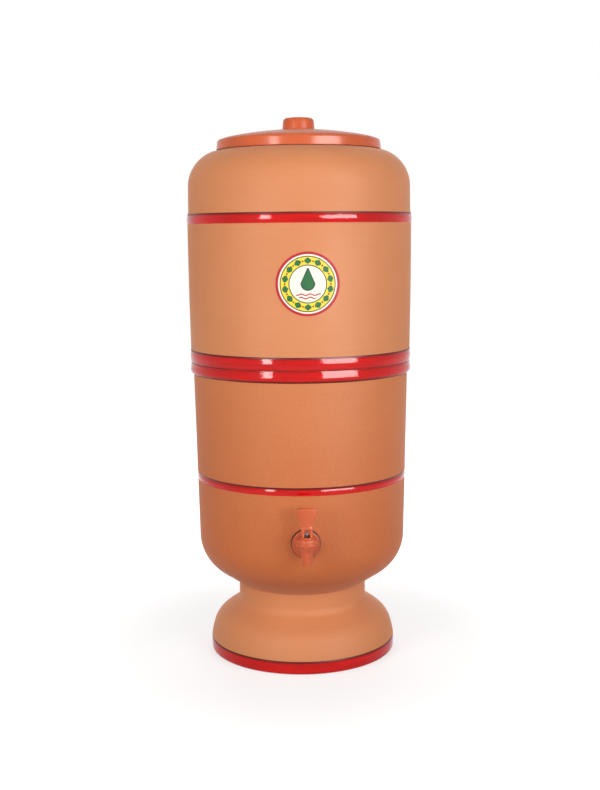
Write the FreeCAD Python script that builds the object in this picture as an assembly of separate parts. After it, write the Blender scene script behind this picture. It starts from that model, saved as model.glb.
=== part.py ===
import FreeCAD, Part
import math
import os

# A clay water filter of two stacked vessels on a pedestal foot, with a lever tap.
# Millimetres, +Z up. The origin is the centre of the foot's underside, and the tap faces -Y.

# Pedestal foot
foot_height = 77.5
foot_wall = 9.0
foot_ring_width = 8.6
foot_side_radius = 99.5
foot_side_height = 25.0
foot_base_inset = 2.7
foot_base_chamfer = 0.8
foot_shoulder_inset = 12.0
foot_shoulder_height = 44.2
foot_shoulder_bulge = 2.2
foot_neck_radius = 70.1
foot_neck_flare = 5.9
foot_neck_flare_height = 52.2
foot_neck_straight_from = 64.0
foot_flare_sag = 2.0
foot_ring_thickening = 2.0

# Clay walls and the lower vessel
clay_wall = 9.0
clay_floor = 11.0
lower_height = 244.9
bowl_corner_radius = 46.8
bowl_corner_turn = 61.0
bowl_inside_turn = 73.0
bowl_corner_rise = 53.8
rim_radius = 116.5
lower_wall_taper = 3.8
floor_flat_radius = 58.0

# Upper vessel
upper_height = 231.1
upper_wall_step = 2.3
upper_wall_mid_swell = 0.9
upper_wall_mid_rise = 62.6
upper_wall_swell = 1.2
shoulder_step = 1.3
shoulder_arc_radius = 39.1
shoulder_arc_turn = 69.0
shoulder_inside_turn = 85.0
shoulder_arc_drop = 45.6
mouth_collar_radius = 82.5
mouth_collar_height = 6.8
upper_corner_radius = 14.0
spigot_depth = 10.0
spigot_chamfer = 3.0
spigot_clearance = 1.2

# Red enamelled beads: where each one starts, how tall it is and how far it stands proud
band_seat = 0.6
rim_gap = 1.2
rim_band_height = 11.4
lower_rim_band_proud = 1.6
upper_rim_band_height = 12.5
upper_rim_band_proud = 1.1
shoulder_band_rise = 146.5
shoulder_band_height = 10.8
shoulder_band_proud = 0.9
waist_band_rise = 117.0
waist_band_height = 8.5
waist_band_proud = 0.4
band_edge = 0.2
foot_band_lift = 1.0
foot_band_height = 14.2
foot_band_proud = 2.5
foot_band_round = 4.4

# Front label
label_radius = 31.8
label_thickness = 0.25
label_rise = 86.6
label_turn = 1.8

# Lid
lid_wall = 2.5
lid_overhang = 5.4
lid_skirt_depth = 7.0
lid_skirt_draft = 0.9
lid_edge_rise = 0.8
lid_edge_round = 3.4
lid_edge_turn = 55.0
lid_crown_inset = 9.4
lid_crown_rise = 5.8
lid_dome_rise = 13.6
lid_lip_depth = 6.0
lid_lip_wall = 2.2
lid_lip_clearance = 0.8
knob_radius = 17.3
knob_draft = 0.6
knob_height = 12.9
knob_round = 2.4

# Filter candles
candle_spacing = 90.0
candle_radius = 28.0
candle_wall = 8.0
candle_height = 95.0
carbon_height = 60.0
candle_base_radius = 30.0
candle_base_floor = 4.0
candle_base_rim = 8.0
candle_fit = 0.4
stem_radius = 6.0
stem_bore_radius = 1.8
stem_hole_clearance = 1.0
thread_clearance = 0.05
seal_clearance = 0.2
floor_gasket_radius = 14.0
floor_gasket_thickness = 3.0
wing_nut_height = 9.0
wing_nut_hub_radius = 10.0
wing_nut_span = 38.0
wing_nut_wing_thickness = 3.0

# Float shut-off under each candle
guide_radius = 9.0
guide_engagement = 9.0
guide_chamber = 3.0
guide_web = 2.5
guide_port_radius = 1.3
guide_port_count = 3
guide_rod_radius = 2.5
float_travel = 8.0
float_radius = 20.0
float_height = 22.0
float_wall = 1.5
float_rod_clearance = 0.5
float_pad_radius = 8.0
float_pad_thickness = 2.0
float_stop_radius = 6.0
float_stop_thickness = 3.0

# Tap
tap_rise = 67.5
tap_shank_radius = 8.0
tap_hole_clearance = 0.5
tap_spot_clearance = 0.6
tap_gasket_radius = 15.2
tap_gasket_thickness = 2.0
tap_flange_radius = 14.4
tap_flange_thickness = 3.2
tap_barrel_radius = 6.2
tap_barrel_reach = 22.7
tap_barrel_drop = 1.0
tap_root_radius = 10.0
tap_root_length = 6.0
tap_inlet_radius = 4.2
tap_nut_height = 7.0
tap_nut_across_flats = 24.0
tap_shank_spare = 2.0
tap_inner_flat_cut = 0.5
spout_drop = 12.0
spout_radius = 5.5
spout_bore_radius = 3.0
column_radius = 5.9
valve_seat_drop = 5.5
valve_chamber_radius = 4.7
upper_chamber_radius = 6.0
upper_chamber_rise = 1.6
boss_radius = 7.8
boss_rise = 7.5
boss_flare_low = -0.6
boss_flare_high = 2.0
cap_radius = 10.3
cap_lip_radius = 11.0
cap_lip_height = 2.2
cap_skirt = 3.4
cap_top_thickness = 3.5
cap_edge_round = 1.6
cup_flange_thickness = 1.5
cup_flange_radius = 7.4
cup_plug_radius = 3.9
cup_plug_floor = 1.8
cup_bell_radius = 5.4
cup_bell_flare = 2.2
cup_skin = 0.8

# Tap stem, lever and pin
valve_stem_radius = 1.8
valve_stem_clearance = 0.3
valve_bulb_radius = 2.4
valve_bulb_height = 2.6
valve_bulb_clearance = 0.1
stem_eye_radius = 2.6
stem_eye_width = 5.4
valve_lift = 3.0
lever_tilt = 60.0
lever_heel_reach = 4.0
lever_heel_back = 3.6
lever_slot_clearance = 0.3
lever_foot_width = 10.8
lever_crotch_rise = 4.2
lever_length = 26.5
lever_paddle_width = 20.0
lever_paddle_height = 8.0
lever_waist_rise = 10.0
lever_thickness = 3.6
lever_corner_round = 3.0
lever_paddle_draft = 0.8
lever_flare_share = 0.25
lever_nose_depth = 0.6
lever_nose_rise = 1.8
heel_clearance = 0.3
lever_pin_radius = 1.2
lever_pin_fit = 0.02
lever_pin_running_clearance = 0.05

# Extra length of a cutting shape past the face that it goes through
cut_spare = 1.0

# Radii that several pieces share
foot_base_radius = foot_side_radius - foot_base_inset
foot_shoulder_radius = foot_side_radius - foot_shoulder_inset
foot_neck_flare_radius = foot_neck_radius + foot_neck_flare
bowl_radius = rim_radius - lower_wall_taper
upper_wall_low_radius = rim_radius + upper_wall_step
upper_wall_mid_radius = upper_wall_low_radius + upper_wall_mid_swell
upper_wall_high_radius = upper_wall_low_radius + upper_wall_swell
shoulder_top_radius = upper_wall_high_radius - shoulder_step
mouth_radius = mouth_collar_radius - clay_wall
lid_skirt_radius = mouth_collar_radius + lid_overhang
foot_band_radius = foot_side_radius + foot_band_proud

# Heights that several pieces share
rim_z = foot_height + lower_height
collar_top_z = rim_z + upper_height
shoulder_z = collar_top_z - shoulder_arc_drop
upper_floor_z = rim_z - spigot_depth + clay_floor
tap_z = foot_height + tap_rise

V = FreeCAD.Vector
AXIS = V(0, 0, 1)
FRONT = V(0, -1, 0)


def on_section(point):
    """A point (radius, height) in the plane that is turned about the Z axis."""
    return V(point[0], 0, point[1])


def section_edges(start, steps, place):
    """Edges from start; a step is a corner, or (through, end) for an arc."""
    edges = []
    here = start
    for step in steps:
        if isinstance(step[0], tuple):
            through, end = step
            edges.append(Part.Arc(place(here), place(through), place(end)).toShape())
        else:
            end = step
            edges.append(Part.makeLine(place(here), place(end)))
        here = end
    if here != start:
        edges.append(Part.makeLine(place(here), place(start)))
    return edges


def turned(start, *steps):
    """A solid of revolution about the Z axis from a closed section."""
    face = Part.Face(Part.Wire(section_edges(start, steps, on_section)))
    return face.revolve(V(0, 0, 0), AXIS, 360)


def rod(radius, low, high):
    """A cylinder on the Z axis between two heights."""
    return Part.makeCylinder(radius, high - low, V(0, 0, low))


def ring(inner, outer, low, high):
    return rod(outer, low, high).cut(rod(inner, low, high))


def rod_out(radius, near, far, height):
    """A cylinder that points to the front, between two distances from the Z axis."""
    return Part.makeCylinder(radius, far - near, V(0, -near, height), FRONT)


def on_circle(centre, radius, degrees):
    angle = math.radians(degrees)
    return (centre[0] + radius * math.cos(angle), centre[1] + radius * math.sin(angle))


def save(name, shape):
    shape = shape.removeSplitter()
    assert shape.isValid(), name
    shape.exportStep(os.path.join("parts", name + ".step"))
    print(name, "solids", len(shape.Solids), "volume", round(shape.Volume / 1000, 2), "cm3")


def lower_wall_radius(height):
    """The lower vessel's outer radius: a slight taper from the bowl up to the rim."""
    low = foot_height + bowl_corner_rise
    share = (height - low) / (rim_z - low)
    return bowl_radius + share * (rim_radius - bowl_radius)


def pedestal_foot():
    shoulder = (foot_shoulder_radius, foot_shoulder_height)
    side = (foot_side_radius, foot_side_height)
    middle = ((shoulder[0] + side[0]) / 2, (shoulder[1] + side[1]) / 2)
    run = math.dist(shoulder, side)
    out = ((shoulder[1] - side[1]) / run, (side[0] - shoulder[0]) / run)
    bulged = (middle[0] + foot_shoulder_bulge * out[0], middle[1] + foot_shoulder_bulge * out[1])
    flare = (foot_neck_flare_radius, foot_neck_flare_height)
    neck = (foot_neck_radius, foot_neck_straight_from)
    sagged = ((flare[0] + neck[0]) / 2 - foot_flare_sag, (flare[1] + neck[1]) / 2 - foot_flare_sag / 2)
    band_radius = foot_base_radius + foot_base_chamfer / 2
    band_top = foot_band_lift + foot_band_height
    inner_base = foot_base_radius - foot_ring_width
    return turned(
        (inner_base, 0),
        (foot_base_radius - foot_base_chamfer / 2, 0),
        (band_radius, foot_band_lift),
        (band_radius, band_top),
        (foot_band_radius - 2 * band_edge, band_top),
        side,
        (bulged, shoulder),
        flare,
        (sagged, neck),
        (foot_neck_radius, foot_height),
        (foot_neck_radius - foot_wall, foot_height),
        (foot_neck_radius - foot_wall, foot_neck_flare_height),
        (foot_shoulder_radius - foot_wall, foot_shoulder_height - foot_wall),
        (foot_side_radius - foot_wall - foot_ring_thickening, foot_side_height - foot_wall),
    )


def foot_band():
    low = foot_band_lift
    high = low + foot_band_height
    inner = foot_base_radius + foot_base_chamfer / 2
    rounding = min(foot_band_round, foot_band_radius - inner - band_edge)
    centre = (foot_band_radius - rounding, low + rounding)
    corner = on_circle(centre, rounding, -45)
    return turned(
        (inner, low),
        (centre[0], low),
        (corner, (foot_band_radius, centre[1])),
        (foot_band_radius - 2 * band_edge, high),
        (inner, high),
    )


def bowl_centre():
    return (bowl_radius - bowl_corner_radius, foot_height + bowl_corner_rise)


def band_groove(low, height, radius):
    """The section steps of a straight groove that a bead is set in, from below."""
    return ((radius, low), (radius, low + height))


def rim_lip_radius():
    return upper_wall_low_radius - band_seat


def rim_groove_radius():
    return rim_radius - band_seat / 2


def waist_low_z():
    return foot_height + waist_band_rise


def waist_groove_radius():
    return lower_wall_radius(waist_low_z()) - band_seat


def lower_vessel():
    centre = bowl_centre()
    outer_low = on_circle(centre, bowl_corner_radius, -bowl_corner_turn)
    outer_mid = on_circle(centre, bowl_corner_radius, -bowl_corner_turn / 2)
    inner_radius = bowl_corner_radius - clay_wall
    inner_low = on_circle(centre, inner_radius, -bowl_inside_turn)
    inner_mid = on_circle(centre, inner_radius, -bowl_inside_turn / 2)
    inner_top = (bowl_radius - clay_wall, centre[1])
    waist_low = waist_low_z()
    waist_high = waist_low + waist_band_height
    rim_band_top = rim_z - rim_gap
    rim_band_low = rim_band_top - rim_band_height
    vessel = turned(
        (0, foot_height),
        (foot_neck_radius, foot_height),
        outer_low,
        (outer_mid, (bowl_radius, centre[1])),
        (lower_wall_radius(waist_low), waist_low),
        *band_groove(waist_low, waist_band_height, waist_groove_radius()),
        (lower_wall_radius(waist_high), waist_high),
        (lower_wall_radius(rim_band_low), rim_band_low),
        *band_groove(rim_band_low, rim_band_height, rim_groove_radius()),
        (rim_lip_radius(), rim_band_top),
        (rim_lip_radius(), rim_z),
        (rim_radius - clay_wall, rim_z),
        inner_top,
        (inner_mid, inner_low),
        (floor_flat_radius, foot_height + clay_floor),
        (0, foot_height + clay_floor),
    )
    spot_radius = tap_gasket_radius + tap_spot_clearance
    outer_spot = rod_out(spot_radius, outer_flat(), outer_flat() + clay_wall, tap_z)
    inner_spot = rod_out(spot_radius, inner_flat() - clay_wall, inner_flat(), tap_z)
    hole_radius = tap_shank_radius + tap_hole_clearance
    hole = rod_out(hole_radius, inner_flat() - clay_wall, outer_flat() + clay_wall, tap_z)
    return vessel.cut(outer_spot).cut(inner_spot).cut(hole)


def outer_flat():
    """How far from the axis the flat round seat for the tap lies on the clay."""
    spot_radius = tap_gasket_radius + tap_spot_clearance
    return math.sqrt(lower_wall_radius(tap_z) ** 2 - spot_radius ** 2)


def inner_flat():
    """How far from the axis the flat seat inside the wall lies."""
    top = tap_z + tap_gasket_radius
    return lower_wall_radius(top) - clay_wall + tap_inner_flat_cut


def bead(inner, low, height, low_radius, high_radius, proud):
    """A red enamelled bead: a ring with a bowed face."""
    crest = (max(low_radius, high_radius) + proud, low + height / 2)
    return turned(
        (inner, low),
        (low_radius + band_edge, low),
        (crest, (high_radius + band_edge, low + height)),
        (inner, low + height),
    )


def waist_band():
    low = waist_low_z()
    high = low + waist_band_height
    return bead(waist_groove_radius(), low, waist_band_height, lower_wall_radius(low),
                lower_wall_radius(high), waist_band_proud)


def lower_rim_band():
    low = rim_z - rim_gap - rim_band_height
    return bead(rim_groove_radius(), low, rim_band_height, lower_wall_radius(low),
                rim_lip_radius(), lower_rim_band_proud)


def upper_rim_band():
    return bead(rim_lip_radius(), rim_z + rim_gap, upper_rim_band_height, rim_lip_radius(),
                upper_wall_low_radius, upper_rim_band_proud)


def shoulder_band():
    low = rim_z + shoulder_band_rise
    return bead(upper_wall_high_radius - band_seat, low, shoulder_band_height, upper_wall_high_radius,
                upper_wall_high_radius - band_seat, shoulder_band_proud)


def upper_wall_steps(extra):
    """The gently bowed outer wall between the rim bead and the shoulder bead."""
    low = (upper_wall_low_radius + extra, rim_z + rim_gap + upper_rim_band_height)
    mid = (upper_wall_mid_radius + extra, rim_z + upper_wall_mid_rise)
    high = (upper_wall_high_radius + extra, rim_z + shoulder_band_rise)
    return low, (mid, high)


def upper_vessel():
    spigot_radius = rim_radius - clay_wall - spigot_clearance
    spigot_z = rim_z - spigot_depth
    wall_low, wall_arc = upper_wall_steps(0)
    groove_low = rim_z + shoulder_band_rise
    groove_radius = upper_wall_high_radius - band_seat
    centre = (shoulder_top_radius - shoulder_arc_radius, shoulder_z)
    inner_arc = shoulder_arc_radius - clay_wall
    collar_base = collar_top_z - mouth_collar_height
    inner_wall = upper_wall_low_radius - clay_wall
    floor_corner = (inner_wall - upper_corner_radius, upper_floor_z + upper_corner_radius)
    vessel = turned(
        (0, spigot_z),
        (spigot_radius - spigot_chamfer, spigot_z),
        (spigot_radius, spigot_z + spigot_chamfer),
        (spigot_radius, rim_z),
        (rim_lip_radius(), rim_z),
        (rim_lip_radius(), wall_low[1]),
        wall_low,
        wall_arc,
        *band_groove(groove_low, shoulder_band_height, groove_radius),
        (shoulder_top_radius, shoulder_z),
        (on_circle(centre, shoulder_arc_radius, shoulder_arc_turn / 2),
         on_circle(centre, shoulder_arc_radius, shoulder_arc_turn)),
        (mouth_collar_radius, collar_base),
        (mouth_collar_radius, collar_top_z),
        (mouth_radius, collar_top_z),
        (mouth_radius, shoulder_z + inner_arc),
        on_circle(centre, inner_arc, shoulder_inside_turn),
        (on_circle(centre, inner_arc, shoulder_inside_turn / 2), (centre[0] + inner_arc, shoulder_z)),
        (inner_wall, floor_corner[1]),
        (on_circle(floor_corner, upper_corner_radius, -45), (floor_corner[0], upper_floor_z)),
        (0, upper_floor_z),
    )
    for x in candle_places():
        hole = rod(stem_radius + stem_hole_clearance, spigot_z - cut_spare, upper_floor_z + cut_spare)
        vessel = vessel.cut(hole.translated(V(x, 0, 0)))
    return vessel


def front_label():
    """A thin round sheet that follows the bowed wall."""
    low, arc = upper_wall_steps(label_thickness)
    inner_low, inner_arc = upper_wall_steps(0)
    sheet = turned(
        inner_low,
        low,
        arc,
        inner_arc[1],
        (inner_arc[0], inner_low),
    )
    far = upper_wall_high_radius + clay_wall
    disc = rod_out(label_radius, upper_wall_low_radius / 2, far, rim_z + label_rise)
    disc.rotate(V(0, 0, 0), AXIS, label_turn)
    return sheet.common(disc)


def lid():
    skirt_z = collar_top_z - lid_skirt_depth
    edge_z = collar_top_z + lid_edge_rise
    edge_radius = lid_skirt_radius - lid_skirt_draft
    edge_centre = (edge_radius - lid_edge_round, edge_z)
    edge_end = on_circle(edge_centre, lid_edge_round, lid_edge_turn)
    knob_top_radius = knob_radius - knob_draft
    crown = (lid_skirt_radius - lid_crown_inset, collar_top_z + lid_crown_rise)
    dome = (knob_radius, collar_top_z + lid_dome_rise)
    dome_mid = ((crown[0] + dome[0]) / 2, (crown[1] + dome[1]) / 2 + lid_wall / 2)
    knob_z = dome[1] + knob_height
    knob_corner = (knob_top_radius - knob_round, knob_z - knob_round)
    lip_outer = mouth_radius - lid_lip_clearance
    lip_inner = lip_outer - lid_lip_wall
    lip_z = collar_top_z - lid_lip_depth
    return turned(
        (lid_skirt_radius - lid_wall, skirt_z),
        (lid_skirt_radius, skirt_z),
        (edge_radius, edge_z),
        (on_circle(edge_centre, lid_edge_round, lid_edge_turn / 2), edge_end),
        crown,
        (dome_mid, dome),
        (knob_top_radius, knob_corner[1]),
        (on_circle(knob_corner, knob_round, 45), (knob_corner[0], knob_z)),
        (0, knob_z),
        (0, knob_z - lid_wall),
        (knob_top_radius - lid_wall, knob_z - lid_wall),
        (knob_radius - lid_wall, dome[1] - lid_wall),
        ((dome_mid[0], dome_mid[1] - lid_wall), (lip_inner, collar_top_z + lid_crown_rise - lid_wall)),
        (lip_inner, lip_z),
        (lip_outer, lip_z),
        (lip_outer, collar_top_z),
        (lid_skirt_radius - lid_wall, collar_top_z),
    )


def candle_places():
    return (-candle_spacing / 2, candle_spacing / 2)


def candle_base_z():
    return upper_floor_z + floor_gasket_thickness


def stem_length():
    through = 2 * floor_gasket_thickness + clay_floor
    return through + wing_nut_height + guide_engagement


def candle_base():
    low = candle_base_z()
    floor = low + candle_base_floor
    rim = floor + candle_base_rim
    cup = rod(candle_base_radius, low, rim).cut(rod(candle_radius + candle_fit, floor, rim))
    stem = rod(stem_radius, low - stem_length(), low)
    return cup.fuse(stem).cut(rod(stem_bore_radius, low - stem_length(), floor))


def candle_shell():
    low = candle_base_z() + candle_base_floor
    top = low + candle_height
    spring = top - candle_radius
    inner = candle_radius - candle_wall
    return turned(
        (inner, low),
        (candle_radius, low),
        (candle_radius, spring),
        (on_circle((0, spring), candle_radius, 45), (0, top)),
        (0, top - candle_wall),
        (on_circle((0, spring), inner, 45), (inner, spring)),
    )


def candle_carbon():
    low = candle_base_z() + candle_base_floor
    return rod(candle_radius - candle_wall - candle_fit, low, low + carbon_height)


def floor_gasket(low):
    return ring(stem_radius + seal_clearance, floor_gasket_radius, low, low + floor_gasket_thickness)


def wing_nut_z():
    return rim_z - spigot_depth - floor_gasket_thickness - wing_nut_height


def wing_nut():
    low = wing_nut_z()
    hub = rod(wing_nut_hub_radius, low, low + wing_nut_height)
    wing = Part.makeBox(wing_nut_wing_thickness, wing_nut_span, wing_nut_height,
                        V(-wing_nut_wing_thickness / 2, -wing_nut_span / 2, low))
    wing = wing.makeFillet(wing_nut_height / 4, [e for e in wing.Edges if is_along_x(e)])
    return hub.fuse(wing).cut(rod(stem_radius + thread_clearance, low, low + wing_nut_height))


def is_along_x(edge):
    start, end = edge.Vertexes[0].Point, edge.Vertexes[-1].Point
    return abs(abs(end.x - start.x) - edge.Length) < 1e-6


def guide_web_z():
    """The underside of the web that the float's pad closes."""
    return wing_nut_z() - guide_engagement - guide_chamber - guide_web


def float_low_z():
    return guide_web_z() - float_travel - float_pad_thickness - float_height


def float_guide():
    web = guide_web_z()
    rod_end = float_low_z() - float_stop_thickness
    body = rod(guide_radius, web, wing_nut_z())
    body = body.cut(rod(stem_radius + thread_clearance, web + guide_web, wing_nut_z()))
    body = body.fuse(rod(guide_rod_radius, rod_end, web + guide_web / 2))
    port_circle = (guide_rod_radius + stem_radius) / 2
    for index in range(guide_port_count):
        port = rod(guide_port_radius, web, web + guide_web).translated(V(port_circle, 0, 0))
        port.rotate(V(0, 0, 0), AXIS, 360 * index / guide_port_count)
        body = body.cut(port)
    return body


def float_cup():
    low = float_low_z() + float_wall
    top = float_low_z() + float_height
    bore = guide_rod_radius + float_rod_clearance
    cup = rod(float_radius, low, top).cut(rod(float_radius - float_wall, low, top - float_wall))
    return cup.fuse(rod(bore + float_wall, low, top)).cut(rod(bore, low, top))


def float_disc():
    low = float_low_z()
    return ring(guide_rod_radius + float_rod_clearance, float_radius, low, low + float_wall)


def float_pad():
    low = float_low_z() + float_height
    return ring(guide_rod_radius + float_rod_clearance, float_pad_radius, low, low + float_pad_thickness)


def float_stop():
    top = float_low_z()
    return ring(guide_rod_radius + thread_clearance, float_stop_radius, top - float_stop_thickness, top)


def flange_back():
    return outer_flat() + tap_gasket_thickness


def column_distance():
    """How far from the axis the tap's upright column stands."""
    return flange_back() + tap_flange_thickness + tap_barrel_reach


def on_column(shape):
    """A turned shape set upright on the tap's column, with its seam towards the wall."""
    shape.rotate(V(0, 0, 0), AXIS, 90)
    return shape.translated(V(0, -column_distance(), 0))


def shank_end():
    return inner_flat() - tap_gasket_thickness - tap_nut_height - tap_shank_spare


def tap_body():
    column_y = column_distance()
    seat = tap_z - valve_seat_drop
    end = tap_z - spout_drop
    boss_top = tap_z + boss_rise
    column = on_column(turned(
        (0, end),
        (spout_radius, end),
        (column_radius, tap_z + boss_flare_low),
        (boss_radius, tap_z + boss_flare_high),
        (boss_radius, boss_top),
        (0, boss_top),
    ))
    shank = rod_out(tap_shank_radius, shank_end(), flange_back(), tap_z)
    flange = rod_out(tap_flange_radius, flange_back(), flange_back() + tap_flange_thickness, tap_z)
    barrel_z = tap_z - tap_barrel_drop
    barrel = rod_out(tap_barrel_radius, flange_back(), column_y, barrel_z)
    root_start = V(0, -flange_back() - tap_flange_thickness, barrel_z)
    root = Part.makeCone(tap_root_radius, tap_barrel_radius, tap_root_length, root_start, FRONT)
    body = column.fuse([shank, flange, barrel, root])
    waterway = on_column(rod(valve_chamber_radius, seat, boss_top))
    cup_room = on_column(rod(upper_chamber_radius, tap_z + upper_chamber_rise, boss_top))
    outlet = on_column(rod(spout_bore_radius, end, boss_top))
    inlet = rod_out(tap_inlet_radius, shank_end(), column_y, barrel_z)
    return body.cut([waterway, cup_room, outlet, inlet])


def tap_gasket(near):
    gasket = rod_out(tap_gasket_radius, near, near + tap_gasket_thickness, tap_z)
    return gasket.cut(rod_out(tap_shank_radius + seal_clearance, near, near + tap_gasket_thickness, tap_z))


def tap_back_nut():
    far = inner_flat() - tap_gasket_thickness
    near = far - tap_nut_height
    corner = tap_nut_across_flats / math.sqrt(3)
    points = []
    for index in range(7):
        angle = math.radians(60 * index)
        points.append(V(corner * math.cos(angle), -near, tap_z + corner * math.sin(angle)))
    nut = Part.Face(Part.makePolygon(points)).extrude(FRONT * tap_nut_height)
    return nut.cut(rod_out(tap_shank_radius + thread_clearance, near, far, tap_z))


def cap_ceiling_z():
    return tap_z + boss_rise + cup_flange_thickness


def cap_top_z():
    return cap_ceiling_z() + cap_top_thickness


def tap_cap():
    ceiling = cap_ceiling_z()
    top = cap_top_z()
    low = ceiling - cap_skirt
    bore = boss_radius + thread_clearance
    corner = (cap_radius - cap_edge_round, top - cap_edge_round)
    cap = turned(
        (bore, low),
        (cap_lip_radius, low),
        (cap_lip_radius, low + cap_lip_height),
        (cap_radius, low + cap_lip_height),
        (cap_radius, corner[1]),
        (on_circle(corner, cap_edge_round, 45), (corner[0], top)),
        (valve_stem_radius + valve_stem_clearance, top),
        (valve_stem_radius + valve_stem_clearance, ceiling),
        (bore, ceiling),
    )
    return on_column(cap)


def bulb_low_z():
    return tap_z - valve_seat_drop + cup_plug_floor


def tap_seat_cup():
    """A rubber bell: its rim is clamped under the cap and its closed end is the valve."""
    seat = tap_z - valve_seat_drop
    flange_low = tap_z + boss_rise
    flange_top = cap_ceiling_z()
    socket = valve_bulb_radius + valve_bulb_clearance
    socket_top = bulb_low_z() + valve_bulb_height + valve_bulb_clearance
    neck_top = socket_top + cup_skin
    neck = valve_stem_radius + valve_bulb_clearance
    step_z = tap_z + upper_chamber_rise
    bell_z = step_z + cup_bell_flare
    cup = turned(
        (0, seat),
        (cup_plug_radius, seat),
        (cup_plug_radius, step_z),
        (cup_bell_radius, bell_z),
        (cup_bell_radius, flange_low),
        (cup_flange_radius, flange_low),
        (cup_flange_radius, flange_top),
        (cup_bell_radius - cup_skin, flange_top),
        (cup_bell_radius - cup_skin, bell_z),
        (neck, neck_top),
        (neck, socket_top),
        (socket, socket_top),
        (socket, bulb_low_z()),
        (0, bulb_low_z()),
    )
    return on_column(cup)


def lever_pin_z():
    return cap_top_z() + heel_clearance + lever_heel_reach


def tap_stem():
    pin_z = lever_pin_z()
    shaft = rod(valve_stem_radius, bulb_low_z(), pin_z)
    bulb = rod(valve_bulb_radius, bulb_low_z(), bulb_low_z() + valve_bulb_height)
    half = stem_eye_width / 2
    eye = Part.makeCylinder(stem_eye_radius, stem_eye_width, V(-half, 0, pin_z), V(1, 0, 0))
    hole_radius = lever_pin_radius + lever_pin_running_clearance
    hole = Part.makeCylinder(hole_radius, stem_eye_width, V(-half, 0, pin_z), V(1, 0, 0))
    stem = shaft.fuse([bulb, eye]).cut(hole)
    return stem.translated(V(0, -column_distance(), 0))


def heel_point(turn):
    """A point on the lever's heel, whose lift is in proportion to the turn."""
    rate = valve_lift / math.radians(lever_tilt)
    angle = math.radians(turn)
    reach = lever_heel_reach + rate * angle
    y = -reach * math.sin(angle) - rate * math.cos(angle)
    z = -reach * math.cos(angle) + rate * math.sin(angle)
    return (y, z)


def lever_side_profile():
    """The lever seen from the side, about its pin, as a face in the Y-Z plane."""
    half = lever_thickness / 2
    nose = heel_point(lever_tilt)
    steps = (
        heel_point(0),
        (heel_point(lever_tilt / 2), nose),
        (nose[0] + lever_nose_depth, nose[1] + lever_nose_rise),
        (-half, lever_crotch_rise + lever_thickness),
        (-half, lever_length - half),
        ((0, lever_length), (half, lever_length - half)),
        (half, 0),
    )
    start = (lever_heel_back - half, -lever_heel_reach)

    def place(point):
        return V(0, point[0], point[1])

    return Part.Face(Part.Wire(section_edges(start, steps, place)))


def lever_front_profile():
    """The lever seen from the front: a narrow foot that flares to a round-cornered paddle."""
    foot = lever_foot_width / 2
    paddle = lever_paddle_width / 2
    corner = lever_corner_round
    low = -lever_heel_reach - cut_spare
    flare_z = lever_length - lever_paddle_height
    flare_x = foot + lever_flare_share * (paddle - foot)
    flare_mid_z = (lever_waist_rise + flare_z) / 2
    flare_end = paddle - lever_paddle_draft
    diagonal = corner * (1 - math.sqrt(0.5))
    steps = (
        (foot, low),
        (foot, lever_waist_rise),
        ((flare_x, flare_mid_z), (flare_end, flare_z)),
        (paddle, lever_length - corner),
        ((paddle - diagonal, lever_length - diagonal), (paddle - corner, lever_length)),
        (corner - paddle, lever_length),
        ((diagonal - paddle, lever_length - diagonal), (-paddle, lever_length - corner)),
        (-flare_end, flare_z),
        ((-flare_x, flare_mid_z), (-foot, lever_waist_rise)),
    )

    def place(point):
        return V(point[0], 0, point[1])

    return Part.Face(Part.Wire(section_edges((-foot, low), steps, place)))


def tap_lever():
    wide = lever_paddle_width
    side = lever_side_profile().translated(V(-wide, 0, 0)).extrude(V(2 * wide, 0, 0))
    front = lever_front_profile().translated(V(0, -wide, 0)).extrude(V(0, 2 * wide, 0))
    slot_half = stem_eye_width / 2 + lever_slot_clearance
    slot = Part.makeBox(2 * slot_half, 2 * wide, wide + lever_crotch_rise, V(-slot_half, -wide, -wide))
    hole_start = V(-lever_foot_width / 2, 0, 0)
    pin_hole = Part.makeCylinder(lever_pin_radius + lever_pin_fit, lever_foot_width, hole_start, V(1, 0, 0))
    lever = side.common(front).cut([slot, pin_hole])
    return lever.translated(V(0, -column_distance(), lever_pin_z()))


def tap_lever_pin():
    start = V(-lever_foot_width / 2, -column_distance(), lever_pin_z())
    return Part.makeCylinder(lever_pin_radius, lever_foot_width, start, V(1, 0, 0))


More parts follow.
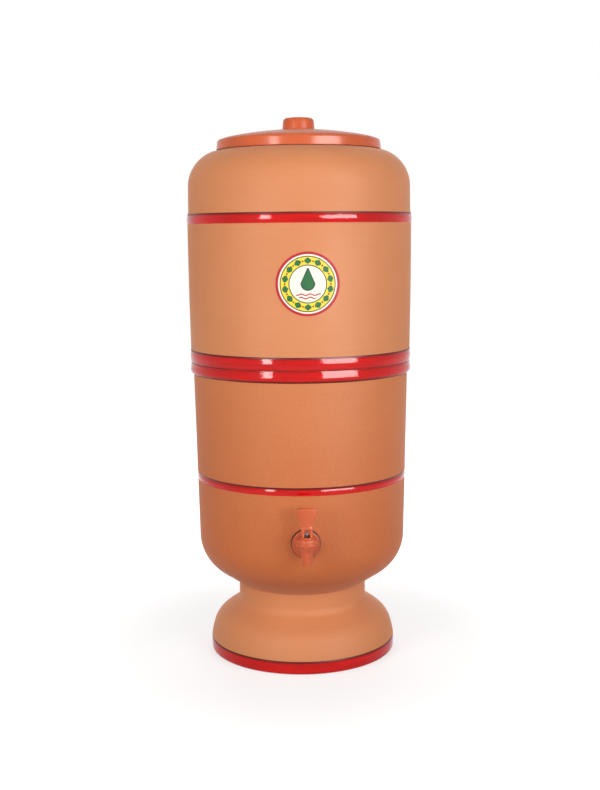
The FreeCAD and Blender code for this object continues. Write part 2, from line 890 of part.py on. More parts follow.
def main():
    os.makedirs("parts", exist_ok=True)
    single = {
        "pedestal_foot": pedestal_foot(),
        "foot_band": foot_band(),
        "lower_vessel": lower_vessel(),
        "waist_band": waist_band(),
        "lower_rim_band": lower_rim_band(),
        "upper_vessel": upper_vessel(),
        "upper_rim_band": upper_rim_band(),
        "shoulder_band": shoulder_band(),
        "front_label": front_label(),
        "lid": lid(),
        "tap_body": tap_body(),
        "tap_outer_gasket": tap_gasket(outer_flat()),
        "tap_inner_gasket": tap_gasket(inner_flat() - tap_gasket_thickness),
        "tap_back_nut": tap_back_nut(),
        "tap_cap": tap_cap(),
        "tap_seat_cup": tap_seat_cup(),
        "tap_stem": tap_stem(),
        "tap_lever": tap_lever(),
        "tap_lever_pin": tap_lever_pin(),
    }
    for name, shape in single.items():
        save(name, shape)
    candle_pieces = {
        "base": candle_base(),
        "shell": candle_shell(),
        "carbon": candle_carbon(),
        "upper_gasket": floor_gasket(upper_floor_z),
        "lower_gasket": floor_gasket(rim_z - spigot_depth - floor_gasket_thickness),
        "wing_nut": wing_nut(),
    }
    float_pieces = {
        "guide": float_guide(),
        "cup": float_cup(),
        "disc": float_disc(),
        "pad": float_pad(),
        "stop": float_stop(),
    }
    for side, x in zip(("left", "right"), candle_places()):
        for piece, shape in candle_pieces.items():
            save("candle_" + side + "_" + piece, shape.translated(V(x, 0, 0)))
        for piece, shape in float_pieces.items():
            save("float_" + side + "_" + piece, shape.translated(V(x, 0, 0)))
    print("rim", rim_z, "collar", collar_top_z, "tap", tap_z, "column", round(column_distance(), 3))
    print("pin", round(lever_pin_z(), 3), "cap top", cap_top_z())
    print("lid top", collar_top_z + lid_dome_rise + knob_height, "shank end", round(shank_end(), 3))
    print("outer flat", round(outer_flat(), 3), "inner flat", round(inner_flat(), 3))
    print("float low", float_low_z(), "web", guide_web_z(), "candle base", candle_base_z())


main()
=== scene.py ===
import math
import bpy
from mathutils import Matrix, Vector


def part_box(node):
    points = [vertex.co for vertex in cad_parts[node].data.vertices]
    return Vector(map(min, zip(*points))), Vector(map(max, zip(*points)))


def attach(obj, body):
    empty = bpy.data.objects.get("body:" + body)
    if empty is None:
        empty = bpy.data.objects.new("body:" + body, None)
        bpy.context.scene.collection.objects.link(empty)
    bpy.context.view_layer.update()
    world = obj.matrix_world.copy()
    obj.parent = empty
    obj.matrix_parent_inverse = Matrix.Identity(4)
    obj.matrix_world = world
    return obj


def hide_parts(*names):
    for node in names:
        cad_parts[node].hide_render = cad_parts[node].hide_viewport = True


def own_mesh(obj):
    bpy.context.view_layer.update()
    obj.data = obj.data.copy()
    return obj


bl_info = {
    "name": "Clay water filter",
    "version": (1, 0, 0),
    "blender": (4, 5, 0),
    "location": "3D View > Sidebar > Water Filter",
    "description": "Models a two-vessel clay water filter with a lever tap over its packed frame",
    "category": "Add Mesh",
}

import bpy
from bpy.props import FloatProperty, FloatVectorProperty, IntProperty, PointerProperty
from mathutils import Matrix, Vector

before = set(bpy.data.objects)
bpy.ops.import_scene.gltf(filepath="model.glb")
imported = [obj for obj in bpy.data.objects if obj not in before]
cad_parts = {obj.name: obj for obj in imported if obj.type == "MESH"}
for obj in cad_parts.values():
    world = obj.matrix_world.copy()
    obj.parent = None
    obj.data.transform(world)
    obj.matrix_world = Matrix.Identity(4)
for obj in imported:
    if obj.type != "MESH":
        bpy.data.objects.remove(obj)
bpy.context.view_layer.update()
SIDES = ("left", "right")
BOWL_CORNER_RISE = 0.0538  # height of the bowl corner's centre above the foot
FOOT_BEAD_SEAT = 0.0023  # depth of the groove round the foot
SEAM_GAP = 0.00012  # half of the gap between the two rim beads
NO_LINE = 0.002  # distance beyond an edge that leaves it red
LABEL_TURN = math.radians(1.8)
FLANGE_THICKNESS = 0.0032
VALVE_STEP = 0.0016  # height of the step in the valve boss above the tap's axis
STEM_LIFT = 0.003
LEVER_TILT = 60  # degrees


def levels(node):
    """The lowest and highest height of a node."""
    bottom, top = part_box(node)
    return bottom.z, top.z


def low(node):
    return levels(node)[0]


def high(node):
    return levels(node)[1]


def near(node):
    """How far from the vessels' axis a node's back lies, along Y."""
    return abs(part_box(node)[1].y)


def far(node):
    """How far from the vessels' axis a node's front lies, along Y."""
    return abs(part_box(node)[0].y)


def span(node):
    """Half the width of a node across X, which is its radius where it is round."""
    bottom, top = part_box(node)
    return (top.x - bottom.x) / 2


def length(name, default, description):
    return FloatProperty(name=name, description=description, default=default, min=0.0, precision=4,
                         unit="LENGTH")


def colour(name, default, description):
    linear = [((value / 255 + 0.055) / 1.055) ** 2.4 for value in default]
    return FloatVectorProperty(name=name, description=description, default=linear, size=3, min=0.0, max=1.0,
                               subtype="COLOR")


class FilterVesselSizes(bpy.types.PropertyGroup):
    """Sizes of the clay vessels, the foot and their beads"""
    around: IntProperty(name="Sides", description="Faces round a large turned piece", default=192, min=24,
                        max=512)
    clay_wall: length("Clay wall", 0.009, "Thickness of the clay walls")
    clay_floor: length("Clay floor", 0.011, "Thickness of the clay floors")
    edge_ease: length("Edge rounding", 0.0012, "Rounding of the fired clay's edges")
    neck_radius: length("Neck radius", 0.0701, "Outer radius of the foot's straight neck")
    foot_side_radius: length("Foot radius", 0.0995, "Outer radius of the foot above its bead")
    bowl_corner: length("Bowl corner", 0.0468, "Radius of the turn from the bowl's underside into the wall")
    bowl_radius: length("Bowl radius", 0.1127, "Outer radius of the lower wall at its foot")
    rim_radius: length("Rim radius", 0.1165, "Outer radius of the lower wall at the seam")
    upper_low_radius: length("Upper wall low", 0.1188, "Outer radius of the upper wall above the seam")
    upper_high_radius: length("Upper wall high", 0.1200,
                              "Outer radius of the upper wall under the shoulder bead")
    shoulder_radius: length("Shoulder radius", 0.1187, "Outer radius above the shoulder bead")
    shoulder_corner: length("Shoulder corner", 0.0391, "Radius of the turn from the wall into the shoulder")
    collar_radius: length("Collar radius", 0.0825, "Outer radius of the mouth collar under the lid")
    bead_seat: length("Bead seat", 0.0006, "Depth of the grooves that the beads are set in")
    line_width: length("Line width", 0.0017, "Width of the thin dark line along a bead")
    # Painted shade: the enamel is painted dark this far on each side of the seam, where the gap between the
    # rim beads lies in shade.
    seam_line: length("Seam line", 0.00025, "How far the enamel is dark on each side of the seam")


class FilterLidSizes(bpy.types.PropertyGroup):
    """Sizes of the plastic lid"""
    wall: length("Lid wall", 0.0025, "Thickness of the moulded lid")
    edge_round: length("Edge rounding", 0.0034, "Rounding between the skirt and the dome")
    crown_inset: length("Crown inset", 0.0094, "How far inside the skirt the dome starts")
    crown_rise: length("Crown rise", 0.0058, "Height of the dome's start above the collar")
    dome_rise: length("Dome rise", 0.0136, "Height of the dome at the knob above the collar")
    lip_radius: length("Lip radius", 0.0727, "Outer radius of the lip inside the mouth")
    lip_wall: length("Lip wall", 0.0022, "Thickness of the lip inside the mouth")
    lip_depth: length("Lip depth", 0.006, "How far the lip reaches into the mouth")
    knob_radius: length("Knob radius", 0.0173, "Radius of the knob at its foot")
    knob_draft: length("Knob draft", 0.0011, "How much narrower the knob is at its top")
    knob_round: length("Knob rounding", 0.004, "Rounding of the knob's top edge")


class FilterTapSizes(bpy.types.PropertyGroup):
    """Sizes of the lever tap"""
    axis_height: length("Tap height", 0.145, "Height of the tap's shank above the base")
    column_reach: length("Column reach", 0.139762, "Distance of the upright column from the vessels' axis")
    flange_radius: length("Flange radius", 0.0144, "Radius of the flange against the wall")
    barrel_radius: length("Barrel radius", 0.0062, "Radius of the barrel between the flange and the column")
    barrel_drop: length("Barrel drop", 0.001, "How far the barrel lies below the shank's axis")
    shank_radius: length("Shank radius", 0.008, "Radius of the threaded shank through the wall")
    spout_radius: length("Spout radius", 0.0055, "Outer radius of the spout's end")
    spout_bore: length("Spout bore", 0.003, "Radius of the spout's bore")
    boss_radius: length("Boss radius", 0.0078, "Radius of the valve boss under the cap")
    cap_radius: length("Cap radius", 0.0103, "Radius of the cap over the valve")
    pin_height: length("Pin height", 0.1618, "Height of the lever's pin above the base")
    lever_length: length("Lever length", 0.0265, "Length of the lever above its pin")
    lever_thickness: length("Lever thickness", 0.0036, "Thickness of the lever's paddle")
    paddle_width: length("Paddle width", 0.020, "Width of the lever's paddle")
    foot_width: length("Fork width", 0.0108, "Width of the lever's forked foot")
    slot_width: length("Slot width", 0.006, "Width of the slot in the lever's fork")


class FilterCandleSizes(bpy.types.PropertyGroup):
    """Sizes of the filter candles and their floats"""
    place: length("Candle place", 0.045, "Distance of a candle from the vessels' axis")
    shell_radius: length("Shell radius", 0.028, "Outer radius of the porous shell")
    shell_wall: length("Shell wall", 0.008, "Thickness of the porous shell")
    cup_radius: length("Cup radius", 0.030, "Outer radius of the candle's plastic cup")
    stem_radius: length("Stem radius", 0.006, "Radius of the candle's threaded stem")
    float_radius: length("Float radius", 0.020, "Radius of the float")
    thread_pitch: length("Thread pitch", 0.0018, "Pitch of the plastic threads")


class FilterColours(bpy.types.PropertyGroup):
    """Colours of the finishes"""
    clay: colour("Clay", (216, 140, 93), "Fired clay")
    clay_dark: colour("Dark clay", (207, 125, 76), "Darker tone in the fired clay")
    clay_damp: colour("Deep lower clay", (197, 97, 46), "Deeper tone of the vessel that holds the water")
    clay_pale: colour("Pale clay", (238, 170, 126), "Pale grains and rubbed edges of the fired clay")
    enamel: colour("Enamel", (214, 14, 12), "Red enamel of the beads")
    enamel_line: colour("Dark line", (92, 8, 2), "Thin line along the beads")
    lid: colour("Lid plastic", (212, 100, 58), "Moulded plastic of the lid")
    tap: colour("Tap plastic", (208, 96, 56), "Moulded plastic of the tap")
    stem: colour("Stem plastic", (150, 122, 118), "Plastic of the valve stem")
    dark_rubber: colour("Dark rubber", (58, 22, 14), "Rubber of the tap's gaskets")
    pale_rubber: colour("Pale rubber", (205, 200, 188), "Rubber of the candles' gaskets and the float pads")
    ceramic: colour("Candle ceramic", (238, 234, 224), "Porous ceramic of the candles")
    carbon: colour("Charcoal", (24, 24, 26), "Charcoal fill of the candles")
    white_plastic: colour("White plastic", (232, 233, 230), "Plastic of the candle cups and floats")
    steel: colour("Steel", (176, 178, 180), "Steel of the lever's pin")
    print_crimson: colour("Print crimson", (190, 24, 48), "Rim of the round label")
    print_cream: colour("Print cream", (246, 242, 226), "Pale ground of the round label")
    print_yellow: colour("Print yellow", (248, 222, 58), "Yellow field of the round label")
    print_green: colour("Print green", (38, 108, 62), "Green of the round label")
    print_line: colour("Print line", (38, 34, 40), "Fine dark lines of the round label")


def sizes(group):
    """The user's settings in a group: vessels, lid, tap, candles or colours."""
    return getattr(bpy.context.scene, "filter_" + group)


def select_only(piece):
    bpy.ops.object.select_all(action="DESELECT")
    piece.select_set(True)
    bpy.context.view_layer.objects.active = piece


def edit_whole(piece):
    """Opens a piece in edit mode with all of it selected."""
    select_only(piece)
    bpy.ops.object.mode_set(mode="EDIT")
    bpy.ops.mesh.select_all(action="SELECT")


def leave_edit():
    bpy.ops.object.mode_set(mode="OBJECT")


def arc(centre, radius, start, end, steps=12):
    """Section points on an arc, between two angles in degrees."""
    points = []
    for index in range(steps + 1):
        angle = math.radians(start + (end - start) * index / steps)
        points.append((centre[0] + radius * math.cos(angle), centre[1] + radius * math.sin(angle)))
    return points


def bow(start, middle, end, steps=10):
    """Section points on a shallow bow through three points."""
    points = []
    for index in range(steps + 1):
        t = index / steps
        weights = ((1 - t) * (1 - 2 * t), 4 * t * (1 - t), t * (2 * t - 1))
        points.append(tuple(sum(w * p[k] for w, p in zip(weights, (start, middle, end))) for k in (0, 1)))
    return points


def eased(corners, steps=4):
    """Section points of a closed outline. A corner's third value is how far its rounding reaches."""
    points = []
    for index, corner in enumerate(corners):
        here = Vector(corner[:2])
        reach = corner[2] if len(corner) > 2 else 0.0
        if not reach:
            points.append(tuple(here))
            continue
        before = Vector(corners[index - 1][:2]) - here
        after = Vector(corners[(index + 1) % len(corners)][:2]) - here
        reach = min(reach, 0.45 * before.length, 0.45 * after.length)
        start = here + before.normalized() * reach
        end = here + after.normalized() * reach
        for step in range(steps + 1):
            t = step / steps
            points.append(tuple(start * (1 - t) ** 2 + here * (2 * t * (1 - t)) + end * t ** 2))
    return points


def threaded(radius, start, end, pitch, depth=0.0006):
    """Section points of a coarse thread, as rings, from one height to another."""
    points = []
    count = max(1, int(abs(end - start) / pitch))
    step = (end - start) / count
    for index in range(count):
        base = start + index * step
        points += [(radius - depth, base), (radius, base + 0.3 * step), (radius, base + 0.55 * step),
                   (radius - depth, base + 0.85 * step)]
    return points


def draw_line(name, points):
    """Draws a run of edges, vertex by vertex, and leaves it open in edit mode with all of it selected."""
    bpy.ops.object.select_all(action="DESELECT")
    bpy.ops.mesh.primitive_plane_add(size=0.01)
    piece = bpy.context.object
    piece.name = name
    edit_whole(piece)
    bpy.ops.mesh.merge(type="CENTER")
    bpy.ops.transform.translate(value=points[0])
    for here, there in zip(points, points[1:]):
        bpy.ops.mesh.extrude_vertices_move(TRANSFORM_OT_translate={"value": Vector(there) - Vector(here)})
    bpy.ops.mesh.select_all(action="SELECT")
    return piece


def merge_doubles():
    bpy.ops.mesh.select_all(action="SELECT")
    bpy.ops.mesh.remove_doubles(threshold=0.000002)


def weld():
    """Merges what coincides in the piece in edit mode and turns its faces outwards."""
    merge_doubles()
    bpy.ops.mesh.normals_make_consistent(inside=False)


def turn(name, section, around=None, place=(0.0, 0.0)):
    """Spins a section of (radius, height) points about an upright axis. One off the axis is closed first."""
    line = [(radius, 0.0, height) for radius, height in section]
    if section[0][0] > 0.0 and section[-1][0] > 0.0:
        line.append(line[0])
    piece = draw_line(name, line)
    steps = around or sizes("vessels").around
    bpy.ops.mesh.spin(steps=steps, angle=math.tau, center=(0.0, 0.0, 0.0), axis=(0.0, 0.0, 1.0))
    weld()
    bpy.ops.transform.translate(value=(*place, 0.0))
    leave_edit()
    return piece


def slab(name, outline, depth):
    """Fills a closed outline of points and extrudes it by a depth vector."""
    piece = draw_line(name, [*outline, outline[0]])
    merge_doubles()
    bpy.ops.mesh.edge_face_add()
    bpy.ops.mesh.extrude_region_move(TRANSFORM_OT_translate={"value": depth})
    weld()
    leave_edit()
    return piece


def plug(name, radius, start, end, place=(0.0, 0.0), around=64):
    """A plain round plug between two heights, used to cut holes."""
    return turn(name, [(0.0, start), (radius, start), (radius, end), (0.0, end)], around, place)


def joined_shell(name, outside, inside, around=None, place=(0.0, 0.0)):
    """A turned shell, closed by bridging the edge of its inside to the edge of its outside."""
    piece = turn(name, outside, around, place)
    lining = turn("lining", inside, around, place)
    select_only(piece)
    lining.select_set(True)
    bpy.ops.object.join()
    edit_whole(piece)
    bpy.ops.mesh.select_all(action="DESELECT")
    bpy.ops.mesh.select_non_manifold()
    bpy.ops.mesh.bridge_edge_loops()
    weld()
    leave_edit()
    return piece


def apply_place(piece, rotation, location=(0.0, 0.0, 0.0)):
    """Turns and moves a piece, and writes its new place into its mesh."""
    piece.rotation_euler = rotation
    piece.location = location
    select_only(piece)
    bpy.ops.object.transform_apply()
    return piece


def face_front(piece, height):
    """Lays an upright turned piece down so that its heights run towards the front."""
    return apply_place(piece, (math.radians(90), 0.0, 0.0), (0.0, 0.0, height))


def apply_modifier(piece, kind, **settings):
    select_only(piece)
    modifier = piece.modifiers.new(kind.lower(), kind)
    for name, value in settings.items():
        setattr(modifier, name, value)
    bpy.ops.object.modifier_apply(modifier=modifier.name)


def soften_edges(piece, width, angle, segments=2):
    """Rounds the piece's edges that are sharper than an angle in degrees."""
    apply_modifier(piece, "BEVEL", width=width, segments=segments, limit_method="ANGLE",
                   angle_limit=math.radians(angle))


def combine(piece, others, operation):
    """Joins others to a piece, cuts them from it, or keeps what they share."""
    for other in others:
        apply_modifier(piece, "BOOLEAN", operation=operation, solver="EXACT", object=other)
        bpy.data.objects.remove(other, do_unlink=True)
    return piece


def finish_for(slot):
    """The material of one of the record's slots, made when it is first asked for."""
    maker, name, *values = FINISHES[slot]
    return bpy.data.materials.get(name) or maker(name, *values)


def finish(piece, body, node, slot, angle=32.0):
    """Shades a piece, gives it its finish and sets it on its body in place of the CAD node."""
    select_only(piece)
    bpy.ops.object.transform_apply()
    bpy.ops.object.shade_smooth_by_angle(angle=math.radians(angle))
    piece.data.materials.clear()
    piece.data.materials.append(finish_for(slot))
    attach(piece, body)
    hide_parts(node)


def copied(piece, shift):
    """Copies a piece, with its own mesh, to another place."""
    select_only(piece)
    bpy.ops.object.duplicate(linked=False)
    bpy.ops.transform.translate(value=shift)
    bpy.ops.object.transform_apply(rotation=False, scale=False)
    return bpy.context.object


def finish_pair(left, label, body, node, slot):
    """Copies a left-hand piece to the right and finishes both. Names have {} where the side goes."""
    right = copied(left, (2 * sizes("candles").place, 0.0, 0.0))
    for side, piece in zip(SIDES, (left, right)):
        piece.name = label.format(side)
        finish(piece, body.format(side), node.format(side), slot)


def keep_node(node, slot):
    """Leaves a CAD node as it is and gives it a better finish."""
    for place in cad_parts[node].material_slots:
        place.material = finish_for(slot)


class Graph:
    """A node tree, with short ways to add the nodes that its makers need."""

    def __init__(self, tree):
        self.tree = tree

    def feed(self, socket, value):
        """Links a socket to another one, or sets its constant value."""
        if isinstance(value, bpy.types.NodeSocket):
            self.tree.links.new(value, socket)
        else:
            socket.default_value = value

    def add(self, kind, inputs=None, **settings):
        node = self.tree.nodes.new("ShaderNode" + kind)
        for name, value in settings.items():
            setattr(node, name, value)
        for key, value in (inputs or {}).items():
            self.feed(node.inputs[key], value)
        return node

    def maths(self, operation, *values):
        return self.add("Math", dict(enumerate(values)), operation=operation).outputs[0]

    def plus(self, first, second):
        return self.maths("ADD", first, second)

    def minus(self, first, second):
        return self.maths("SUBTRACT", first, second)

    def times(self, first, second, extra=None):
        """The product of two values, with a third added where it is given."""
        if extra is None:
            return self.maths("MULTIPLY", first, second)
        return self.maths("MULTIPLY_ADD", first, second, extra)

    def absolute(self, value):
        return self.maths("ABSOLUTE", value)

    def distance(self, first, second):
        """How far a point lies from the origin, from its two coordinates."""
        return self.maths("SQRT", self.times(first, first, self.times(second, second)))

    def ramp(self, value, start, end, low_value=0.0, high_value=1.0, smooth=True):
        """Maps a value between two limits on to another range, with soft ends."""
        inputs = {"Value": value, "From Min": start, "From Max": end, "To Min": low_value,
                  "To Max": high_value}
        kind = "SMOOTHSTEP" if smooth else "LINEAR"
        return self.add("MapRange", inputs, interpolation_type=kind).outputs["Result"]

    def blend(self, factor, first, second):
        """A colour between two, each a socket or three values."""
        node = self.add("Mix", {"Factor": factor}, data_type="RGBA")
        for index, value in ((6, first), (7, second)):
            self.feed(node.inputs[index], value if isinstance(value, bpy.types.NodeSocket) else (*value, 1.0))
        return node.outputs[2]

    def place(self):
        return self.add("TexCoord").outputs["Object"]

    def parts(self, vector):
        """The X, Y and Z of a vector."""
        return tuple(self.add("SeparateXYZ", {"Vector": vector}).outputs)

    def noise(self, scale, detail=2.0, roughness=0.5):
        """Noise over the piece. A scale of three values stretches it."""
        vector = self.place()
        if isinstance(scale, tuple):
            vector = self.add("Mapping", {"Vector": vector, "Scale": scale}).outputs["Vector"]
            scale = 1.0
        inputs = {"Vector": vector, "Scale": scale, "Detail": detail, "Roughness": roughness}
        return self.add("TexNoise", inputs).outputs["Fac"]

    def bump(self, strength, distance, height):
        inputs = {"Strength": strength, "Distance": distance, "Height": height}
        return self.add("Bump", inputs).outputs["Normal"]

    def placed_group(self, name, maker, values):
        """Places a shared surface group, made when it is first asked for, with values of its own."""
        node = self.add("Group")
        node.node_tree = bpy.data.node_groups.get(name) or maker(name)
        for label, value in values.items():
            node.inputs[label].default_value = value
        return node.outputs

    def seen_directly(self):
        """One for what the camera sees, straight, in a reflection or through glass."""
        rays = self.add("LightPath").outputs
        seen = self.plus(rays["Is Camera Ray"], rays["Is Glossy Ray"])
        return self.maths("MINIMUM", self.plus(seen, rays["Is Transmission Ray"]), 1.0)


class SurfaceGroup(Graph):
    """A new node group with number inputs, mask outputs and a normal."""

    def __init__(self, name, numbers, masks):
        super().__init__(bpy.data.node_groups.new(name, "ShaderNodeTree"))
        sockets = self.tree.interface
        for label, default in numbers.items():
            socket = sockets.new_socket(name=label, in_out="INPUT", socket_type="NodeSocketFloat")
            socket.default_value = default
        for label in masks:
            sockets.new_socket(name=label, in_out="OUTPUT", socket_type="NodeSocketFloat")
        sockets.new_socket(name="Normal", in_out="OUTPUT", socket_type="NodeSocketVector")
        self.given = self.tree.nodes.new("NodeGroupInput").outputs
        self.out = self.tree.nodes.new("NodeGroupOutput").inputs

    def give(self, **values):
        """Links what the group puts out, and gives the group."""
        for label, value in values.items():
            self.feed(self.out[label], value)
        return self.tree


class Finish(Graph):
    """A new material with its Principled shader, whose constant values are set on its own sockets."""

    def __init__(self, name, values):
        self.material = bpy.data.materials.new(name)
        self.material.use_nodes = True
        super().__init__(self.material.node_tree)
        self.tree.nodes.clear()
        self.shader = self.add("BsdfPrincipled", values)
        self.add("OutputMaterial", {"Surface": self.shader.outputs["BSDF"]})

    def surface(self, base, roughness, normal=None):
        """Links the colour, roughness and normal that change over the surface, and gives the material."""
        for label, value in (("Base Color", base), ("Roughness", roughness), ("Normal", normal)):
            if value is not None:
                self.feed(self.shader.inputs[label], value)
        return self.material


def shaded(tone, factor, lift=0.0):
    """A darker tone of a colour."""
    return tuple(value * factor + lift for value in tone)


def fired_clay_group(name):
    """Masks and surface normal of fired clay: clouds, turning lines, grains and pits."""
    numbers = {"Cloud Scale": 7.0, "Grain Scale": 1500.0, "Pit Scale": 420.0, "Relief": 0.55}
    g = SurfaceGroup(name, numbers, ("Clouds", "Grains", "Lines"))
    clouds = g.noise(g.given["Cloud Scale"], 3.0, 0.55)
    lines = g.noise((2.0, 2.0, 260.0), 3.0, 0.6)
    slow_lines = g.noise((3.0, 3.0, 45.0))
    grains = g.noise(g.given["Grain Scale"], 2.0, 0.7)
    cells = g.add("TexVoronoi", {"Vector": g.place(), "Scale": g.given["Pit Scale"]}).outputs
    pits = g.maths("MAXIMUM", g.ramp(cells["Distance"], 0.04, 0.2), g.ramp(cells["Color"], 0.55, 0.6))
    height = g.times(slow_lines, 0.5, g.times(lines, 0.2))
    height = g.times(pits, 0.12, g.times(grains, 0.16, height))
    return g.give(Clouds=clouds, Grains=g.times(grains, pits), Lines=lines,
                  Normal=g.bump(g.given["Relief"], 0.0003, height))


def moulded_group(name):
    """Masks and surface normal of moulded plastic: faint flow, wipe marks and a fine skin."""
    numbers = {"Flow Scale": 22.0, "Skin Scale": 900.0, "Relief": 0.25}
    g = SurfaceGroup(name, numbers, ("Flow", "Marks"))
    flow = g.noise(g.given["Flow Scale"], 3.0, 0.5)
    marks = g.noise((900.0, 60.0, 260.0), 3.0, 0.65)
    height = g.times(flow, 0.5, g.times(g.noise(g.given["Skin Scale"]), 0.12))
    return g.give(Flow=flow, Marks=marks, Normal=g.bump(g.given["Relief"], 0.0004, height))


def fired_clay(name):
    """Dull fired clay, deeper in tone on the lower vessel below the seam, more so down towards the bowl."""
    tones = sizes("colours")
    g = Finish(name, {"Specular IOR Level": 0.12, "Sheen Weight": 0.12, "Sheen Roughness": 0.45})
    skin = g.placed_group("Fired clay surface", fired_clay_group, {"Relief": 0.55})
    clouds = g.ramp(skin["Clouds"], 0.3, 0.7)
    base = g.blend(g.times(clouds, 0.5), tones.clay, tones.clay_dark)
    base = g.blend(g.ramp(skin["Lines"], 0.35, 0.75, 0.0, 0.14), base, tones.clay_dark)
    height = g.parts(g.place())[2]
    seam = high("lower_vessel")
    # The clay is deeper in tone below the seam, more so down towards the bowl.
    deepening = g.times(g.ramp(height, 0.07, 0.095), g.ramp(height, seam, 0.11, 0.4, 0.8))
    deepening = g.times(deepening, g.ramp(height, seam + 0.0002, seam - 0.0002))
    base = g.blend(deepening, base, tones.clay_damp)
    base = g.blend(g.ramp(skin["Grains"], 0.52, 0.72, 0.0, 0.35), base, tones.clay_pale)
    return g.surface(base, g.ramp(skin["Clouds"], 0.3, 0.7, 0.5, 0.6), skin["Normal"])


def glossy_enamel(name):
    """Glossy red enamel with a thin brushed line, at the distance that each bead stores. At the seam that
    dark is painted shade, and the red beside the line and the seam is darkened with painted shade.
    """
    tones = sizes("colours")
    g = Finish(name, {"IOR": 1.36, "Specular IOR Level": 0.35})
    darker = shaded(tones.enamel, 0.55)
    pooled = g.noise((18.0, 18.0, 160.0))
    red = g.blend(g.ramp(pooled, 0.35, 0.75, 0.0, 0.45), tones.enamel, darker)
    away = g.add("Attribute", attribute_name="line_distance").outputs["Fac"]
    away = g.plus(away, g.times(g.noise((28.0, 28.0, 28.0)), 0.0008, -0.0004))
    # The dark of the brushed line; at the seam between the rim beads it is painted shade.
    line = g.ramp(away, 0.00015, -0.00015)
    # Painted shade: the red darkens towards the dark line and the seam, where the bead turns into the crease.
    red = g.blend(g.ramp(away, 0.0024, 0.0002, 0.0, 0.75), red, darker)
    base = g.blend(line, red, tones.enamel_line)
    roughness = g.times(line, 0.3, g.ramp(pooled, 0.3, 0.7, 0.06, 0.1))
    return g.surface(base, roughness, g.bump(0.3, 0.0003, g.times(pooled, 1.6, g.noise(260.0, 1.0, 0.4))))


def moulded_plastic(name, tone, values, shine=(0.2, 0.34), darker=0.78, skin_values=None):
    """Moulded plastic with flow marks in its tone and shine; gives its finish, colour and roughness."""
    g = Finish(name, values)
    skin = g.placed_group("Moulded plastic surface", moulded_group, skin_values or {})
    base = g.blend(g.ramp(skin["Flow"], 0.35, 0.7, 0.0, 0.6), tone, shaded(tone, darker))
    roughness = g.ramp(skin["Marks"], 0.4, 0.75, *shine)
    g.surface(base, roughness, skin["Normal"])
    return g, base, roughness


def lid_plastic(name):
    """Lid plastic, with a glossy skirt and knob and a duller dome between them."""
    values = {"IOR": 1.42, "Specular IOR Level": 0.21}
    g, base, roughness = moulded_plastic(name, sizes("colours").lid, values, (0.2, 0.3))
    x, y, _ = g.parts(g.place())
    away = g.distance(x, y)
    knob = sizes("lid").knob_radius
    skirt = span("lid")
    dome = g.times(g.ramp(away, knob + 0.0005, knob + 0.003), g.ramp(away, skirt - 0.003, skirt - 0.006))
    dull = g.times(g.ramp(away, knob - 0.0025, knob - 0.004), 0.3, g.times(dome, 0.1))
    return g.surface(base, g.plus(dull, roughness))


def tap_plastic(name):
    """Tap plastic, with painted shade in the slot of the lever's fork."""
    tone = sizes("colours").tap
    t = sizes("tap")
    values = {"IOR": 1.42, "Specular IOR Level": 0.3}
    g, base, roughness = moulded_plastic(name, tone, values, (0.32, 0.46))
    x, y, z = g.parts(g.place())
    slot = t.slot_width / 2
    # Painted shade: the plastic is darkened where it lies in the slot of the lever's fork.
    painted_slot_shade = g.ramp(g.absolute(x), slot + 0.0003, slot)
    painted_slot_shade = g.times(painted_slot_shade, g.ramp(g.absolute(g.plus(y, t.column_reach)), 0.0034, 0.003))
    for outer, inner in ((-0.0038, -0.003), (0.0056, 0.0048)):
        painted_slot_shade = g.times(painted_slot_shade, g.ramp(z, t.pin_height + outer, t.pin_height + inner))
    return g.surface(g.blend(g.times(painted_slot_shade, 0.85), base, shaded(tone, 0.3)), roughness)


def stem_plastic(name):
    """Grey plastic of the valve stem."""
    skin = {"Flow Scale": 60.0}
    return moulded_plastic(name, sizes("colours").stem, {"IOR": 1.5}, (0.3, 0.45), 0.78, skin)[0].material


def white_plastic(name):
    """White plastic of the candle cups and the floats."""
    values = {"IOR": 1.48, "Subsurface Weight": 0.08, "Subsurface Scale": 0.002}
    skin = {"Flow Scale": 35.0, "Relief": 0.2}
    return moulded_plastic(name, sizes("colours").white_plastic, values, (0.28, 0.42), 0.9, skin)[0].material


def rubber(name, tone):
    """Dull rubber with dusty patches."""
    tone = getattr(sizes("colours"), tone)
    g = Finish(name, {"Specular IOR Level": 0.35})
    dust = g.noise(120.0, 4.0, 0.6)
    base = g.blend(g.ramp(dust, 0.45, 0.7, 0.0, 0.7), tone, shaded(tone, 0.7, 0.05))
    return g.surface(base, g.ramp(dust, 0.3, 0.7, 0.62, 0.85), g.bump(0.3, 0.0002, g.noise(1400.0)))


def mineral(name, tone, grain_scale, pit_depth, shade):
    """A porous mineral surface, for the candles' ceramic and their charcoal."""
    tone = getattr(sizes("colours"), tone)
    g = Finish(name, {"Specular IOR Level": 0.3})
    grain = g.noise(grain_scale, 4.0, 0.7)
    stain = g.noise((30.0, 30.0, 14.0), 3.0, 0.6)
    deep = shaded(tone, shade)
    base = g.blend(g.ramp(stain, 0.4, 0.75, 0.0, 0.55), tone, deep)
    base = g.blend(g.ramp(grain, 0.55, 0.75, 0.0, 0.5), base, deep)
    return g.surface(base, g.ramp(grain, 0.3, 0.7, 0.72, 0.9), g.bump(0.5, pit_depth, grain))


def drawn_steel(name):
    """Steel with fine marks along the wire that the pin is cut from."""
    steel = sizes("colours").steel
    g = Finish(name, {"Metallic": 1.0})
    marks = g.noise((60.0, 2600.0, 2600.0), 2.0, 0.6)
    return g.surface(g.blend(marks, steel, shaded(steel, 0.7)), g.ramp(marks, 0.3, 0.7, 0.22, 0.4))


def label_place():
    """Height of the label's centre, and its radius."""
    bottom, top = levels("front_label")
    return (bottom + top) / 2, (top - bottom) / 2


